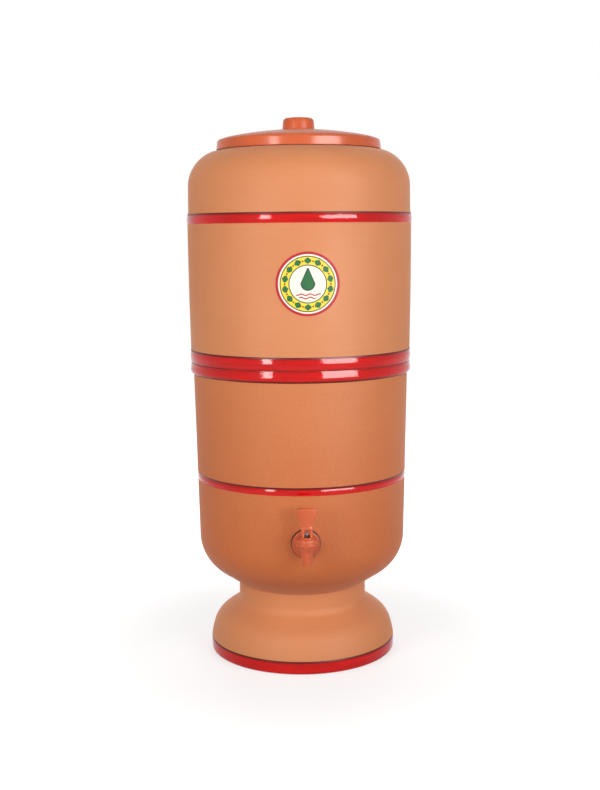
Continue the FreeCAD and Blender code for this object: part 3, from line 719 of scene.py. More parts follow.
def printed_label(name):
    """Print of the round label: crimson rim, yellow field with leaves, and a drop over waves."""
    tones = sizes("colours")
    centre_height, radius = label_place()
    g = Finish(name, {"Specular IOR Level": 0.12})
    inputs = {"Vector": g.place(), "Location": (0.0, 0.0, -centre_height),
              "Rotation": (0.0, 0.0, -LABEL_TURN)}
    x, _, y = g.parts(g.add("Mapping", inputs).outputs["Vector"])
    x, y = g.maths("DIVIDE", x, radius), g.maths("DIVIDE", y, radius)
    away = g.distance(x, y)

    def discs(paint, *rows):
        """Paints one disc on another, each given by its radius and colour."""
        for edge, tone in rows:
            paint = g.blend(g.ramp(away, edge + 0.006, edge - 0.006), paint, tone)
        return paint

    paint = discs(tones.print_crimson, (0.92, tones.print_cream), (0.87, tones.print_line),
                  (0.84, tones.print_yellow))
    leaf_turn = g.maths("PINGPONG", g.times(g.maths("ARCTAN2", y, x), 14 / math.pi), 1.0)
    leaf_away = g.absolute(g.minus(away, 0.72))
    leaf = g.ramp(g.minus(leaf_away, g.times(leaf_turn, 0.115)), 0.0, -0.02)
    paint = g.blend(g.times(leaf, g.ramp(leaf_turn, 0.28, 0.36)), paint, tones.print_green)
    berry = g.distance(g.times(leaf_turn, 0.162), leaf_away)
    paint = g.blend(g.ramp(berry, 0.036, 0.026), paint, tones.print_crimson)
    paint = discs(paint, (0.6, tones.print_line), (0.57, tones.print_cream))
    rise = g.minus(y, 0.02)
    narrow = g.ramp(rise, 0.0, 0.44, 1.0, 0.02, smooth=False)
    drop_away = g.distance(x, g.maths("MINIMUM", rise, 0.0))
    for border, tip, tip_soft, tone in ((0.03, 0.48, 0.46, tones.print_line),
                                        (0.0, 0.45, 0.42, tones.print_green)):
        drop = g.ramp(g.minus(drop_away, g.times(narrow, 0.2, border)), 0.008, -0.008)
        paint = g.blend(g.times(drop, g.ramp(rise, tip, tip_soft)), paint, tone)
    wave = g.times(g.maths("SINE", g.times(x, 22.0)), 0.022)
    for level in (-0.33, -0.43):
        wave_away = g.absolute(g.minus(g.minus(y, level), wave))
        line = g.times(g.ramp(wave_away, 0.026, 0.014), g.ramp(away, 0.52, 0.5))
        paint = g.blend(line, paint, tones.print_crimson)
    dots = g.noise(2600.0, 1.0)
    paint = g.blend(g.ramp(dots, 0.55, 0.8, 0.0, 0.12), paint, tones.print_cream)
    return g.surface(paint, g.ramp(dots, 0.3, 0.7, 0.45, 0.58), g.bump(0.2, 0.0001, g.noise(300.0)))


# The record's material slots: what makes each one's finish, the finish's name, and the values that it takes.
FINISHES = {
    "clay": (fired_clay, "Fired clay"),
    "red_enamel": (glossy_enamel, "Red enamel"),
    "label_print": (printed_label, "Printed label"),
    "lid_plastic": (lid_plastic, "Lid plastic"),
    "tap_plastic": (tap_plastic, "Tap plastic"),
    "stem_plastic": (stem_plastic, "Stem plastic"),
    "white_plastic": (white_plastic, "White plastic"),
    "dark_rubber": (rubber, "Dark rubber", "dark_rubber"),
    "pale_rubber": (rubber, "Pale rubber", "pale_rubber"),
    "candle_ceramic": (mineral, "Candle ceramic", "ceramic", 700.0, 0.0002, 0.86),
    "carbon": (mineral, "Charcoal", "carbon", 900.0, 0.0004, 0.5),
    "steel": (drawn_steel, "Drawn steel"),
}


def lower_wall_radius(height):
    """Outer radius of the lower vessel, which tapers slightly from the rim down to the bowl."""
    s = sizes("vessels")
    start = low("lower_vessel") + BOWL_CORNER_RISE
    share = (height - start) / (high("lower_vessel") - start)
    return s.bowl_radius + share * (s.rim_radius - s.bowl_radius)


def lip_radius():
    """Radius of the clay lips at the seam, which the two rim beads lie on."""
    s = sizes("vessels")
    return s.upper_low_radius - s.bead_seat


class WATERFILTER_OT_foot(bpy.types.Operator):
    """Turns the hollow pedestal foot"""
    bl_idname = "waterfilter.foot"
    bl_label = "Pedestal foot"

    def execute(self, context):
        s = sizes("vessels")
        top = high("pedestal_foot")
        band_low, band_high = levels("foot_band")
        band_seat = s.foot_side_radius - FOOT_BEAD_SEAT
        base = s.foot_side_radius - 0.0113
        neck = s.neck_radius
        bore = neck - s.clay_wall
        flare = 0.0522
        side = Vector((s.foot_side_radius, 0.025))
        shoulder = Vector((s.foot_side_radius - 0.012, 0.0442))
        across = (shoulder - side).normalized()
        bulged = (side + shoulder) / 2 + Vector((across.y, -across.x)) * 0.0022
        section = eased([(base, 0.0, 0.001), (band_seat - 0.0008, 0.0, 0.0006), (band_seat, band_low)])
        section.append((band_seat, band_high))
        section += bow((s.foot_side_radius + 0.0021, band_high), (s.foot_side_radius + 0.0012, 0.0203), side,
                       5)
        section += bow(side, bulged, shoulder, 9)[1:]
        section += bow((neck + 0.0059, flare), (neck + 0.00095, 0.0571), (neck, 0.064))
        section += [(neck, top), (bore, top), (bore, flare)]
        section += eased([(bore, flare), (shoulder.x - s.clay_wall, 0.0352, 0.003),
                          (side.x - 0.011, 0.016, 0.004),
                          (base, 0.0)])[1:-1]
        finish(turn("clay_foot", section), "lower_chamber", "pedestal_foot", "clay")
        return {"FINISHED"}


class WATERFILTER_OT_lower_vessel(bpy.types.Operator):
    """Turns the lower clay vessel and cuts its tap hole with a flat seat on each side"""
    bl_idname = "waterfilter.lower_vessel"
    bl_label = "Lower vessel"

    def execute(self, context):
        s = sizes("vessels")
        bottom, rim = levels("lower_vessel")
        centre = (s.bowl_radius - s.bowl_corner, bottom + BOWL_CORNER_RISE)
        section = [(0.0, bottom), (s.neck_radius, bottom)]
        section += arc(centre, s.bowl_corner, -61.0, 0.0, 24)
        band_low, band_high = levels("waist_band")
        groove = lower_wall_radius(band_low) - s.bead_seat
        section += [(lower_wall_radius(band_low), band_low), (groove, band_low), (groove, band_high),
                    (lower_wall_radius(band_high), band_high)]
        band_low, band_high = levels("lower_rim_band")
        groove = s.rim_radius - s.bead_seat / 2
        section += [(lower_wall_radius(band_low), band_low), (groove, band_low), (groove, band_high)]
        inner_rim = s.rim_radius - s.clay_wall
        section += eased([(lip_radius(), band_high), (lip_radius(), rim, 0.0005),
                          (inner_rim, rim, s.edge_ease),
                          (inner_rim, centre[1])])
        section += arc(centre, s.bowl_corner - s.clay_wall, 0.0, -73.0, 20)[1:]
        floor = bottom + s.clay_floor
        section += [(0.058, floor), (0.0, floor)]
        piece = turn("clay_lower_vessel", section)
        outside, inside = near("tap_outer_gasket"), far("tap_inner_gasket")
        beyond = 0.009
        seat, hole = 0.0158, 0.0085
        cuts = ((seat, outside, outside + beyond), (seat, inside - beyond, inside),
                (hole, inside - beyond, outside + beyond))
        axis = sizes("tap").axis_height
        combine(piece, [face_front(plug("tap_seat", *cut, around=96), axis) for cut in cuts], "DIFFERENCE")
        finish(piece, "lower_chamber", "lower_vessel", "clay")
        return {"FINISHED"}


class WATERFILTER_OT_upper_vessel(bpy.types.Operator):
    """Turns the upper clay vessel and cuts the two candle holes in its floor"""
    bl_idname = "waterfilter.upper_vessel"
    bl_label = "Upper vessel"

    def execute(self, context):
        s = sizes("vessels")
        base, top = levels("upper_vessel")
        seam = high("lower_vessel")
        spigot = s.rim_radius - s.clay_wall - 0.0012
        shoulder_height = top - 0.0456
        centre = (s.shoulder_radius - s.shoulder_corner, shoulder_height)
        section = eased([(0.0, base), (spigot - 0.003, base, 0.001), (spigot, base + 0.003, 0.001),
                         (spigot, seam), (lip_radius(), seam, 0.0005),
                         (lip_radius(), high("upper_rim_band"))])
        band_low, band_high = levels("shoulder_band")
        wall_low = high("upper_rim_band")
        middle = (s.upper_low_radius * 0.25 + s.upper_high_radius * 0.75, (wall_low + band_low) / 2)
        section += bow((s.upper_low_radius, wall_low), middle, (s.upper_high_radius, band_low), 14)
        groove = s.upper_high_radius - s.bead_seat
        section += [(groove, band_low), (groove, band_high), (s.shoulder_radius + 0.0002, band_high + 0.0025)]
        section += arc(centre, s.shoulder_corner, 0.0, 69.0, 22)
        mouth = s.collar_radius - s.clay_wall
        inner_arc = s.shoulder_corner - s.clay_wall
        inner_shoulder = arc(centre, inner_arc, 85.0, 0.0, 18)
        section += eased([section[-1], (s.collar_radius, top - 0.0068, 0.001),
                          (s.collar_radius, top, s.edge_ease),
                          (mouth, top, s.edge_ease), (mouth, shoulder_height + inner_arc, 0.004),
                          inner_shoulder[0]])[1:-1]
        section += inner_shoulder
        corner = 0.014
        floor = base + s.clay_floor
        section += arc((s.upper_low_radius - s.clay_wall - corner, floor + corner), corner, 0.0, -90.0, 10)
        section.append((0.0, floor))
        piece = turn("clay_upper_vessel", section)
        place = sizes("candles").place
        holes = [plug("candle_hole", 0.007, base - 0.002, floor + 0.002, (x, 0.0)) for x in (-place, place)]
        combine(piece, holes, "DIFFERENCE")
        finish(piece, "upper_chamber", "upper_vessel", "clay")
        return {"FINISHED"}


class WATERFILTER_OT_beads(bpy.types.Operator):
    """Turns the five red enamelled beads"""
    bl_idname = "waterfilter.beads"
    bl_label = "Enamelled beads"

    def execute(self, context):
        s = sizes("vessels")
        seam = high("lower_vessel")
        for name, node, body, inner, low_radius, high_radius, upwards in self.rows(s):
            bottom, top = levels(node)
            crest = span(node)
            lower_edge = [(inner, bottom), (low_radius + 0.0002, bottom, 0.0003)]
            upper_edge = [(high_radius + 0.0002, top, 0.0003), (inner, top)]
            # The dark edges: the brushed line along a bead, and on the two rim beads painted shade at the
            # seam between them.
            dark_above = top - s.line_width if upwards else seam - s.seam_line
            dark_below = bottom - NO_LINE if upwards else bottom + s.line_width
            if node == "upper_rim_band":
                dark_below = seam + s.seam_line
                lower_edge = self.over_lip(crest, bottom, seam + SEAM_GAP)
            if node == "lower_rim_band":
                upper_edge = [*reversed(self.over_lip(crest, top, seam - SEAM_GAP)), (inner, top)]
            face = [
                (crest - 0.0005, bottom + 0.14 * (top - bottom), 0.0016),
                (crest, (bottom + top) / 2 - 0.0004, 0.002),
                (crest - 0.0007, top - 0.22 * (top - bottom), 0.0016),
            ]
            self.bead(name, eased(lower_edge + face + upper_edge), dark_above, dark_below, body, node)
        self.foot_bead(s)
        return {"FINISHED"}

    def rows(self, s):
        """Name, CAD node, body, inner radius, the clay's radii below and above, and if the line is on top."""
        waist_low, waist_high = [lower_wall_radius(height) for height in levels("waist_band")]
        rim = lower_wall_radius(low("lower_rim_band"))
        lip = lip_radius()
        shoulder = s.upper_high_radius
        return (
            ("bead_waist", "waist_band", "lower_chamber", waist_low - s.bead_seat, waist_low, waist_high,
             True),
            ("bead_lower_rim", "lower_rim_band", "lower_chamber", s.rim_radius - s.bead_seat / 2, rim, lip,
             False),
            ("bead_upper_rim", "upper_rim_band", "upper_chamber", lip, lip, s.upper_low_radius, True),
            ("bead_shoulder", "shoulder_band", "upper_chamber", shoulder - s.bead_seat, shoulder,
             shoulder - s.bead_seat, True),
        )

    def over_lip(self, crest, edge, seam):
        """Corners that round the bead off at the seam, over the clay lip."""
        under = lip_radius() + 0.00008
        return [(under, edge), (under, seam), (crest - 0.001, seam, 0.0022)]

    def foot_bead(self, s):
        bottom, top = levels("foot_band")
        crest = span("foot_band")
        inner = s.foot_side_radius - FOOT_BEAD_SEAT
        section = eased([
            (inner, bottom),
            (crest - 0.0005, bottom, 0.0052),
            (crest, (bottom + top) / 2, 0.0045),
            (crest - 0.0004, top - 0.0006, 0.0012),
            (crest - 0.0016, top, 0.0004),
            (inner, top),
        ])
        dark_above = top - 1.15 * s.line_width
        self.bead("bead_foot", section, dark_above, bottom - NO_LINE, "lower_chamber", "foot_band")

    def bead(self, name, section, dark_above, dark_below, body, node):
        """Turns a bead that stores how far each of its points lies from its dark edges: the brushed line, and
        on the two rim beads the painted shade at the seam.
        """
        piece = turn(name, section)
        heights = [vertex.co.z for vertex in piece.data.vertices]
        distance = piece.data.attributes.new("line_distance", "FLOAT", "POINT")
        distance.data.foreach_set("value", [min(dark_above - z, z - dark_below) for z in heights])
        finish(piece, body, node, "red_enamel", 50.0)


class WATERFILTER_OT_label(bpy.types.Operator):
    """Cuts the round printed label and lays it on the upper wall"""
    bl_idname = "waterfilter.label"
    bl_label = "Round label"

    def execute(self, context):
        centre_height, radius = label_place()
        thickness = 0.00012
        rings = 16
        bpy.ops.object.select_all(action="DESELECT")
        bpy.ops.mesh.primitive_circle_add(vertices=128, radius=radius, fill_type="NGON")
        piece = context.object
        piece.name = "printed_label"
        edit_whole(piece)
        for _ in range(rings - 1):
            bpy.ops.mesh.inset(thickness=radius / rings)
        bpy.ops.mesh.poke()
        leave_edit()
        apply_place(piece, (math.radians(90), 0.0, 0.0), (0.0, -0.15, centre_height))
        piece.rotation_euler = (0.0, 0.0, LABEL_TURN)
        apply_modifier(piece, "SHRINKWRAP", target=bpy.data.objects["clay_upper_vessel"],
                       wrap_method="PROJECT",
                       use_project_y=True, use_positive_direction=True, use_negative_direction=False,
                       offset=thickness)
        apply_place(piece, (0.0, 0.0, LABEL_TURN))
        apply_modifier(piece, "SOLIDIFY", thickness=thickness, offset=1.0)
        edit_whole(piece)
        bpy.ops.mesh.normals_make_consistent(inside=False)
        leave_edit()
        finish(piece, "upper_chamber", "front_label", "label_print")
        return {"FINISHED"}


class WATERFILTER_OT_lid(bpy.types.Operator):
    """Turns the domed lid with its skirt, inner lip and hollow knob"""
    bl_idname = "waterfilter.lid"
    bl_label = "Lid"

    def execute(self, context):
        lid = sizes("lid")
        wall = lid.wall
        seat = high("upper_vessel")
        skirt_low, top = levels("lid")
        skirt = span("lid")
        inner_skirt = skirt - wall
        edge = (skirt - 0.0009, seat + 0.0008)
        crown = (skirt - lid.crown_inset, seat + lid.crown_rise)
        dome = (lid.knob_radius, seat + lid.dome_rise)
        middle = ((crown[0] + dome[0]) / 2, (crown[1] + dome[1]) / 2 + wall / 2)
        knob_top = lid.knob_radius - lid.knob_draft
        outside = eased([(inner_skirt, skirt_low, 0.0006), (skirt, skirt_low, 0.0006), edge])[:-1]
        outside += arc((edge[0] - lid.edge_round, edge[1]), lid.edge_round, 0.0, 52.0, 8)
        outside += bow(crown, middle, dome, 14)[:-1]
        outside += eased([outside[-1], (*dome, 0.001), (knob_top, top, lid.knob_round), (0.0, top)])[1:]
        ceiling = dome[1] - wall
        inside = eased([(0.0, top - wall), (knob_top - wall, top - wall, 0.001),
                        (dome[0] - wall, ceiling, 0.001),
                        (dome[0] + 0.01, ceiling)])[:-1]
        lip, lip_low = lid.lip_radius, seat - lid.lip_depth
        crown_inner = (lip - lid.lip_wall, seat + lid.crown_rise - wall)
        inside += bow((dome[0], ceiling), (middle[0], middle[1] - wall), crown_inner, 12)[1:]
        inside += eased([crown_inner, (lip - lid.lip_wall, lip_low, 0.0005), (lip, lip_low, 0.0005),
                         (lip, seat),
                         (inner_skirt, seat), (inner_skirt, skirt_low)])[1:-1]
        finish(joined_shell("moulded_lid", outside, inside), "lid", "lid", "lid_plastic")
        return {"FINISHED"}


class WATERFILTER_OT_candles(bpy.types.Operator):
    """Makes the two filter candles with their cups, stems, gaskets and wing nuts"""
    bl_idname = "waterfilter.candles"
    bl_label = "Filter candles"

    def execute(self, context):
        c = sizes("candles")
        place = (-c.place, 0.0)
        shell = self.shell(c, place)
        finish_pair(shell, "candle_shell_{}", "upper_chamber", "candle_{}_shell", "candle_ceramic")
        for piece, label, node in ((self.cup(c, place), "candle_cup_{}", "candle_{}_base"),
                                   (self.wing_nut(place), "wing_nut_{}", "candle_{}_wing_nut")):
            finish_pair(piece, label, "upper_chamber", node, "white_plastic")
        self.gaskets(place)
        for side in SIDES:
            keep_node(f"candle_{side}_carbon", "carbon")
        return {"FINISHED"}

    def shell(self, c, place):
        bottom, top = levels("candle_left_shell")
        spring = (0.0, top - c.shell_radius)
        inner = c.shell_radius - c.shell_wall
        outside = [(c.shell_radius, bottom), *arc(spring, c.shell_radius, 0.0, 90.0, 20)[:-1], (0.0, top)]
        inside = [(0.0, top - c.shell_wall), *arc(spring, inner, 90.0, 0.0, 14)[1:], (inner, bottom)]
        return joined_shell("candle_shell", outside, inside, 128, place)

    def cup(self, c, place):
        stem_end, rim = levels("candle_left_base")
        floor = high("candle_left_upper_gasket")
        floor_top = low("candle_left_shell")
        bore = 0.0018
        room = c.shell_radius + 0.0004
        root = c.stem_radius - 0.0006
        thread_end = floor - 0.0008
        section = [(bore, stem_end)]
        section += threaded(c.stem_radius, stem_end + 0.0004, thread_end, c.thread_pitch)
        section += eased([(root, thread_end), (root, floor), (c.cup_radius, floor, 0.0012),
                          (c.cup_radius, rim, 0.0006), (room, rim, 0.0006), (room, floor_top),
                          (bore, floor_top)])
        return turn("candle_cup", section, 96, place)

    def wing_nut(self, place):
        bottom, top = levels("candle_left_wing_nut")
        reach = (far("candle_left_wing_nut") + near("candle_left_wing_nut")) / 2
        section = eased([(0.0, bottom), (0.0096, bottom, 0.0008), (0.010, top, 0.0008), (0.0, top)])
        hub = turn("wing_nut", section, 72, place)
        corners = ((-reach, bottom), (reach, bottom), (reach, top), (-reach, top))
        outline = eased([(*corner, (top - bottom) / 3) for corner in corners], 6)
        thickness = 0.003
        wings = slab("wings", [(place[0] - thickness / 2, y, z) for y, z in outline], (thickness, 0.0, 0.0))
        combine(hub, [wings], "UNION")
        combine(hub, [plug("bore", 0.00605, bottom - 0.001, top + 0.001, place)], "DIFFERENCE")
        soften_edges(hub, 0.0004, 50.0)
        return hub

    def gaskets(self, place):
        """All four gaskets are alike: each is a copy of the upper left one."""
        first = "candle_left_upper_gasket"
        bottom, top = levels(first)
        inner, outer = 0.0062, span(first)
        ring = eased([(inner, bottom, 0.0004), (outer, bottom, 0.0006), (outer, top, 0.0006),
                      (inner, top, 0.0004)])
        upper = turn("gasket_upper", ring, 72, place)
        lower = copied(upper, (0.0, 0.0, low("candle_left_lower_gasket") - bottom))
        for level, piece in (("upper", upper), ("lower", lower)):
            node = "candle_{}_" + level + "_gasket"
            finish_pair(piece, "candle_gasket_{}_" + level, "upper_chamber", node, "pale_rubber")


class WATERFILTER_OT_floats(bpy.types.Operator):
    """Makes the float shut-off that hangs under each candle"""
    bl_idname = "waterfilter.floats"
    bl_label = "Float shut-offs"

    def execute(self, context):
        c = sizes("candles")
        place = (-c.place, 0.0)
        bore = 0.003
        for piece, part, body in (
                (self.guide(place), "guide", "upper_chamber"),
                (self.ring(place, "stop", 0.00255, 0.0008), "stop", "upper_chamber"),
                (self.ring(place, "disc", bore, 0.0004), "disc", "float_{}"),
                (self.cup(place, bore, c.float_radius), "cup", "float_{}")):
            finish_pair(piece, f"float_{part}_{{}}", body, f"float_{{}}_{part}", "white_plastic")
        pad = self.ring(place, "pad", bore, 0.0005, 0.00005)
        finish_pair(pad, "float_pad_{}", "float_{}", "float_{}_pad", "pale_rubber")
        return {"FINISHED"}

    def ring(self, place, part, inner, ease, shy=0.0):
        """A flat round piece with a bore. Its top stays shy of what it closes against."""
        node = f"float_left_{part}"
        bottom, top, outer = low(node), high(node) - shy, span(node)
        section = eased([(inner, bottom, 0.0002), (outer, bottom, ease), (outer, top, ease),
                         (inner, top, 0.0002)])
        return turn(f"float_{part}", section, 112, place)

    def guide(self, place):
        """A rod for the float, hung on a web with three ports in the mouth of the candle's stem."""
        rod_end, top = levels("float_left_guide")
        web = high("float_left_pad") + 0.008
        web_top = web + 0.0025
        rod, mouth, outer = 0.0025, 0.00605, 0.009
        section = eased([(0.0, rod_end), (rod, rod_end, 0.0006), (rod, web, 0.0005), (outer, web, 0.0012),
                         (outer, top, 0.0006), (mouth, top, 0.0004), (mouth, web_top), (0.0, web_top)], 3)
        guide = turn("float_guide", section, 96, place)
        ports = []
        for index in range(3):
            angle = math.tau * index / 3
            centre = (place[0] + 0.00425 * math.cos(angle), 0.00425 * math.sin(angle))
            ports.append(plug("port", 0.0013, web - 0.001, web_top + 0.001, centre, 32))
        return combine(guide, ports, "DIFFERENCE")

    def cup(self, place, bore, outer):
        bottom, top = levels("float_left_cup")
        wall = 0.0015
        section = eased([(outer - wall, bottom), (outer, bottom, 0.0003), (outer, top, 0.002),
                         (bore, top, 0.0003),
                         (bore, bottom), (bore + wall, bottom), (bore + wall, top - wall),
                         (outer - wall, top - wall)])
        return turn("float_cup", section, 112, place)


def tap_column():
    """Where the tap's upright column stands."""
    return (0.0, -sizes("tap").column_reach)


class WATERFILTER_OT_tap_body(bpy.types.Operator):
    """Models the tap's one moulding: shank, flange, barrel, valve boss and spout"""
    bl_idname = "waterfilter.tap_body"
    bl_label = "Tap body"

    def execute(self, context):
        t = sizes("tap")
        barrel_height = t.axis_height - t.barrel_drop
        shank_end = near("tap_body")
        body = self.column(t)
        shank = face_front(turn("shank", self.shank(t, shank_end), 96), t.axis_height)
        barrel = face_front(turn("barrel", self.barrel(t), 96), barrel_height)
        combine(body, [shank, barrel], "UNION")
        inlet = face_front(plug("inlet", 0.0042, shank_end - 0.001, t.column_reach), barrel_height)
        combine(body, [turn("waterway", self.waterway(t), 64, tap_column()), inlet], "DIFFERENCE")
        finish(body, "lower_chamber", "tap_body", "tap_plastic")
        return {"FINISHED"}

    def column(self, t):
        spout_low, boss_top = levels("tap_body")
        boss_low = t.axis_height + 0.0012
        section = eased([(0.0, spout_low), (t.spout_radius, spout_low, 0.0005),
                         (t.spout_radius + 0.0004, boss_low - 0.002, 0.002),
                         (t.boss_radius, boss_low + 0.0014, 0.0015),
                         (t.boss_radius, boss_top, 0.0002), (0.0, boss_top)], 6)
        return turn("moulded_tap", section, 96, tap_column())

    def shank(self, t, end):
        """Section of the threaded shank and the flange; its heights run from the inside to the front."""
        back = far("tap_outer_gasket")
        front = back + FLANGE_THICKNESS
        root = t.shank_radius - 0.0002
        section = [(0.0, end), *threaded(t.shank_radius, end + 0.0004, back - 0.0085, 0.0022)]
        return section + eased([(root, back - 0.008), (root, back), (t.flange_radius, back, 0.0003),
                                (t.flange_radius, front, 0.0009), (0.0, front)], 5)

    def barrel(self, t):
        """Section of the barrel, which swells where it meets the flange."""
        front = far("tap_outer_gasket") + FLANGE_THICKNESS
        section = [(0.0, front - 0.001), (0.0105, front - 0.001)]
        section += bow((0.01, front), (0.0072, front + 0.0026), (t.barrel_radius, front + 0.0064), 6)
        return section + [(t.barrel_radius, t.column_reach), (0.0, t.column_reach)]

    def waterway(self, t):
        """Section of the bore through the spout, the valve seat and the boss."""
        spout_low, boss_top = levels("tap_body")
        seat, step = t.axis_height - 0.0055, t.axis_height + VALVE_STEP
        start, end = spout_low - 0.001, boss_top + 0.001
        return [(0.0, start), (t.spout_bore + 0.0006, start), (t.spout_bore, spout_low + 0.0004),
                (t.spout_bore, seat),
                (0.0047, seat), (0.0047, step), (0.006, step), (0.006, end), (0.0, end)]


class WATERFILTER_OT_tap_seals(bpy.types.Operator):
    """Makes the gaskets and the nut that hold the tap on the wall"""
    bl_idname = "waterfilter.tap_seals"
    bl_label = "Tap gaskets and nut"

    def execute(self, context):
        axis = sizes("tap").axis_height
        back, front = near("tap_outer_gasket"), far("tap_outer_gasket")
        inner, outer = 0.0082, span("tap_outer_gasket")
        ring = eased([(inner, back, 0.0003), (outer, back, 0.0005), (outer, front, 0.0005),
                      (inner, front, 0.0003)])
        gasket = face_front(turn("tap_gasket_outer", ring, 96), axis)
        inner_gasket = copied(gasket, (0.0, front - far("tap_inner_gasket"), 0.0))
        inner_gasket.name = "tap_gasket_inner"
        finish(gasket, "lower_chamber", "tap_outer_gasket", "dark_rubber")
        finish(inner_gasket, "lower_chamber", "tap_inner_gasket", "dark_rubber")
        self.nut(axis, near("tap_back_nut"), far("tap_back_nut"))
        return {"FINISHED"}

    def nut(self, axis, back, front):
        corner = 0.024 / math.sqrt(3)
        angles = [math.tau * index / 6 for index in range(6)]
        outline = [(corner * math.cos(angle), -back, axis + corner * math.sin(angle)) for angle in angles]
        nut = slab("tap_nut", outline, (0.0, back - front, 0.0))
        bore = plug("nut_bore", 0.00805, back - 0.001, front + 0.001, around=96)
        dish = [(corner - 0.0011, back - 0.001), (corner + 0.004, back - 0.001),
                (corner + 0.004, back + 0.0012),
                (corner + 0.0001, back + 0.0012)]
        chamfer = turn("nut_chamfer", dish, 96)
        combine(nut, [face_front(bore, axis), face_front(chamfer, axis)], "DIFFERENCE")
        soften_edges(nut, 0.0003, 40.0)
        finish(nut, "lower_chamber", "tap_back_nut", "tap_plastic")


class WATERFILTER_OT_tap_seat_cup(bpy.types.Operator):
    """Turns the rubber bell whose closed end is the valve, in its resting shape; the real bell flattens as
    the stem lifts
    """
    bl_idname = "waterfilter.tap_seat_cup"
    bl_label = "Tap seat cup"

    def execute(self, context):
        seat, clamp = levels("tap_seat_cup")
        bulb = low("tap_stem")
        bell, skin, end, rim = 0.0054, 0.0008, 0.0039, 0.0074
        neck, socket = 0.0019, 0.0025
        step = sizes("tap").axis_height + VALVE_STEP
        flare = step + 0.0022
        socket_top = bulb + 0.0038
        section = eased([
            (0.0, seat), (end, seat, 0.0005), (end, step, 0.0005), (bell, flare, 0.0006),
                         (bell, clamp - 0.0015),
            (rim, clamp - 0.0015, 0.0002), (rim, clamp, 0.0002), (bell - skin, clamp),
                         (bell - skin, flare, 0.0005),
            (neck, socket_top + skin, 0.0003), (neck, socket_top), (socket, socket_top), (socket, bulb),
                         (0.0, bulb)])
        piece = turn("rubber_seat_cup", section, 96, tap_column())
        finish(piece, "lower_chamber", "tap_seat_cup", "pale_rubber")
        tap_column()
        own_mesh(piece)
        return {"FINISHED"}


class WATERFILTER_OT_tap_cap(bpy.types.Operator):
    """Turns the cap over the valve, with its lip"""
    bl_idname = "waterfilter.tap_cap"
    bl_label = "Tap cap"

    def execute(self, context):
        t = sizes("tap")
        bottom, top = levels("tap_cap")
        lip = span("tap_cap")
        bore = t.boss_radius + 0.00005
        hole = 0.0021
        ceiling = bottom + 0.0034
        section = eased([(bore, bottom, 0.0002), (lip, bottom, 0.0006), (lip, bottom + 0.0022, 0.0006),
                         (t.cap_radius, bottom + 0.0024, 0.0003), (t.cap_radius, top, 0.0016),
                         (hole, top, 0.0004),
                         (hole, ceiling), (bore, ceiling)], 5)
        finish(turn("moulded_cap", section, 96, tap_column()), "lower_chamber", "tap_cap", "tap_plastic")
        return {"FINISHED"}


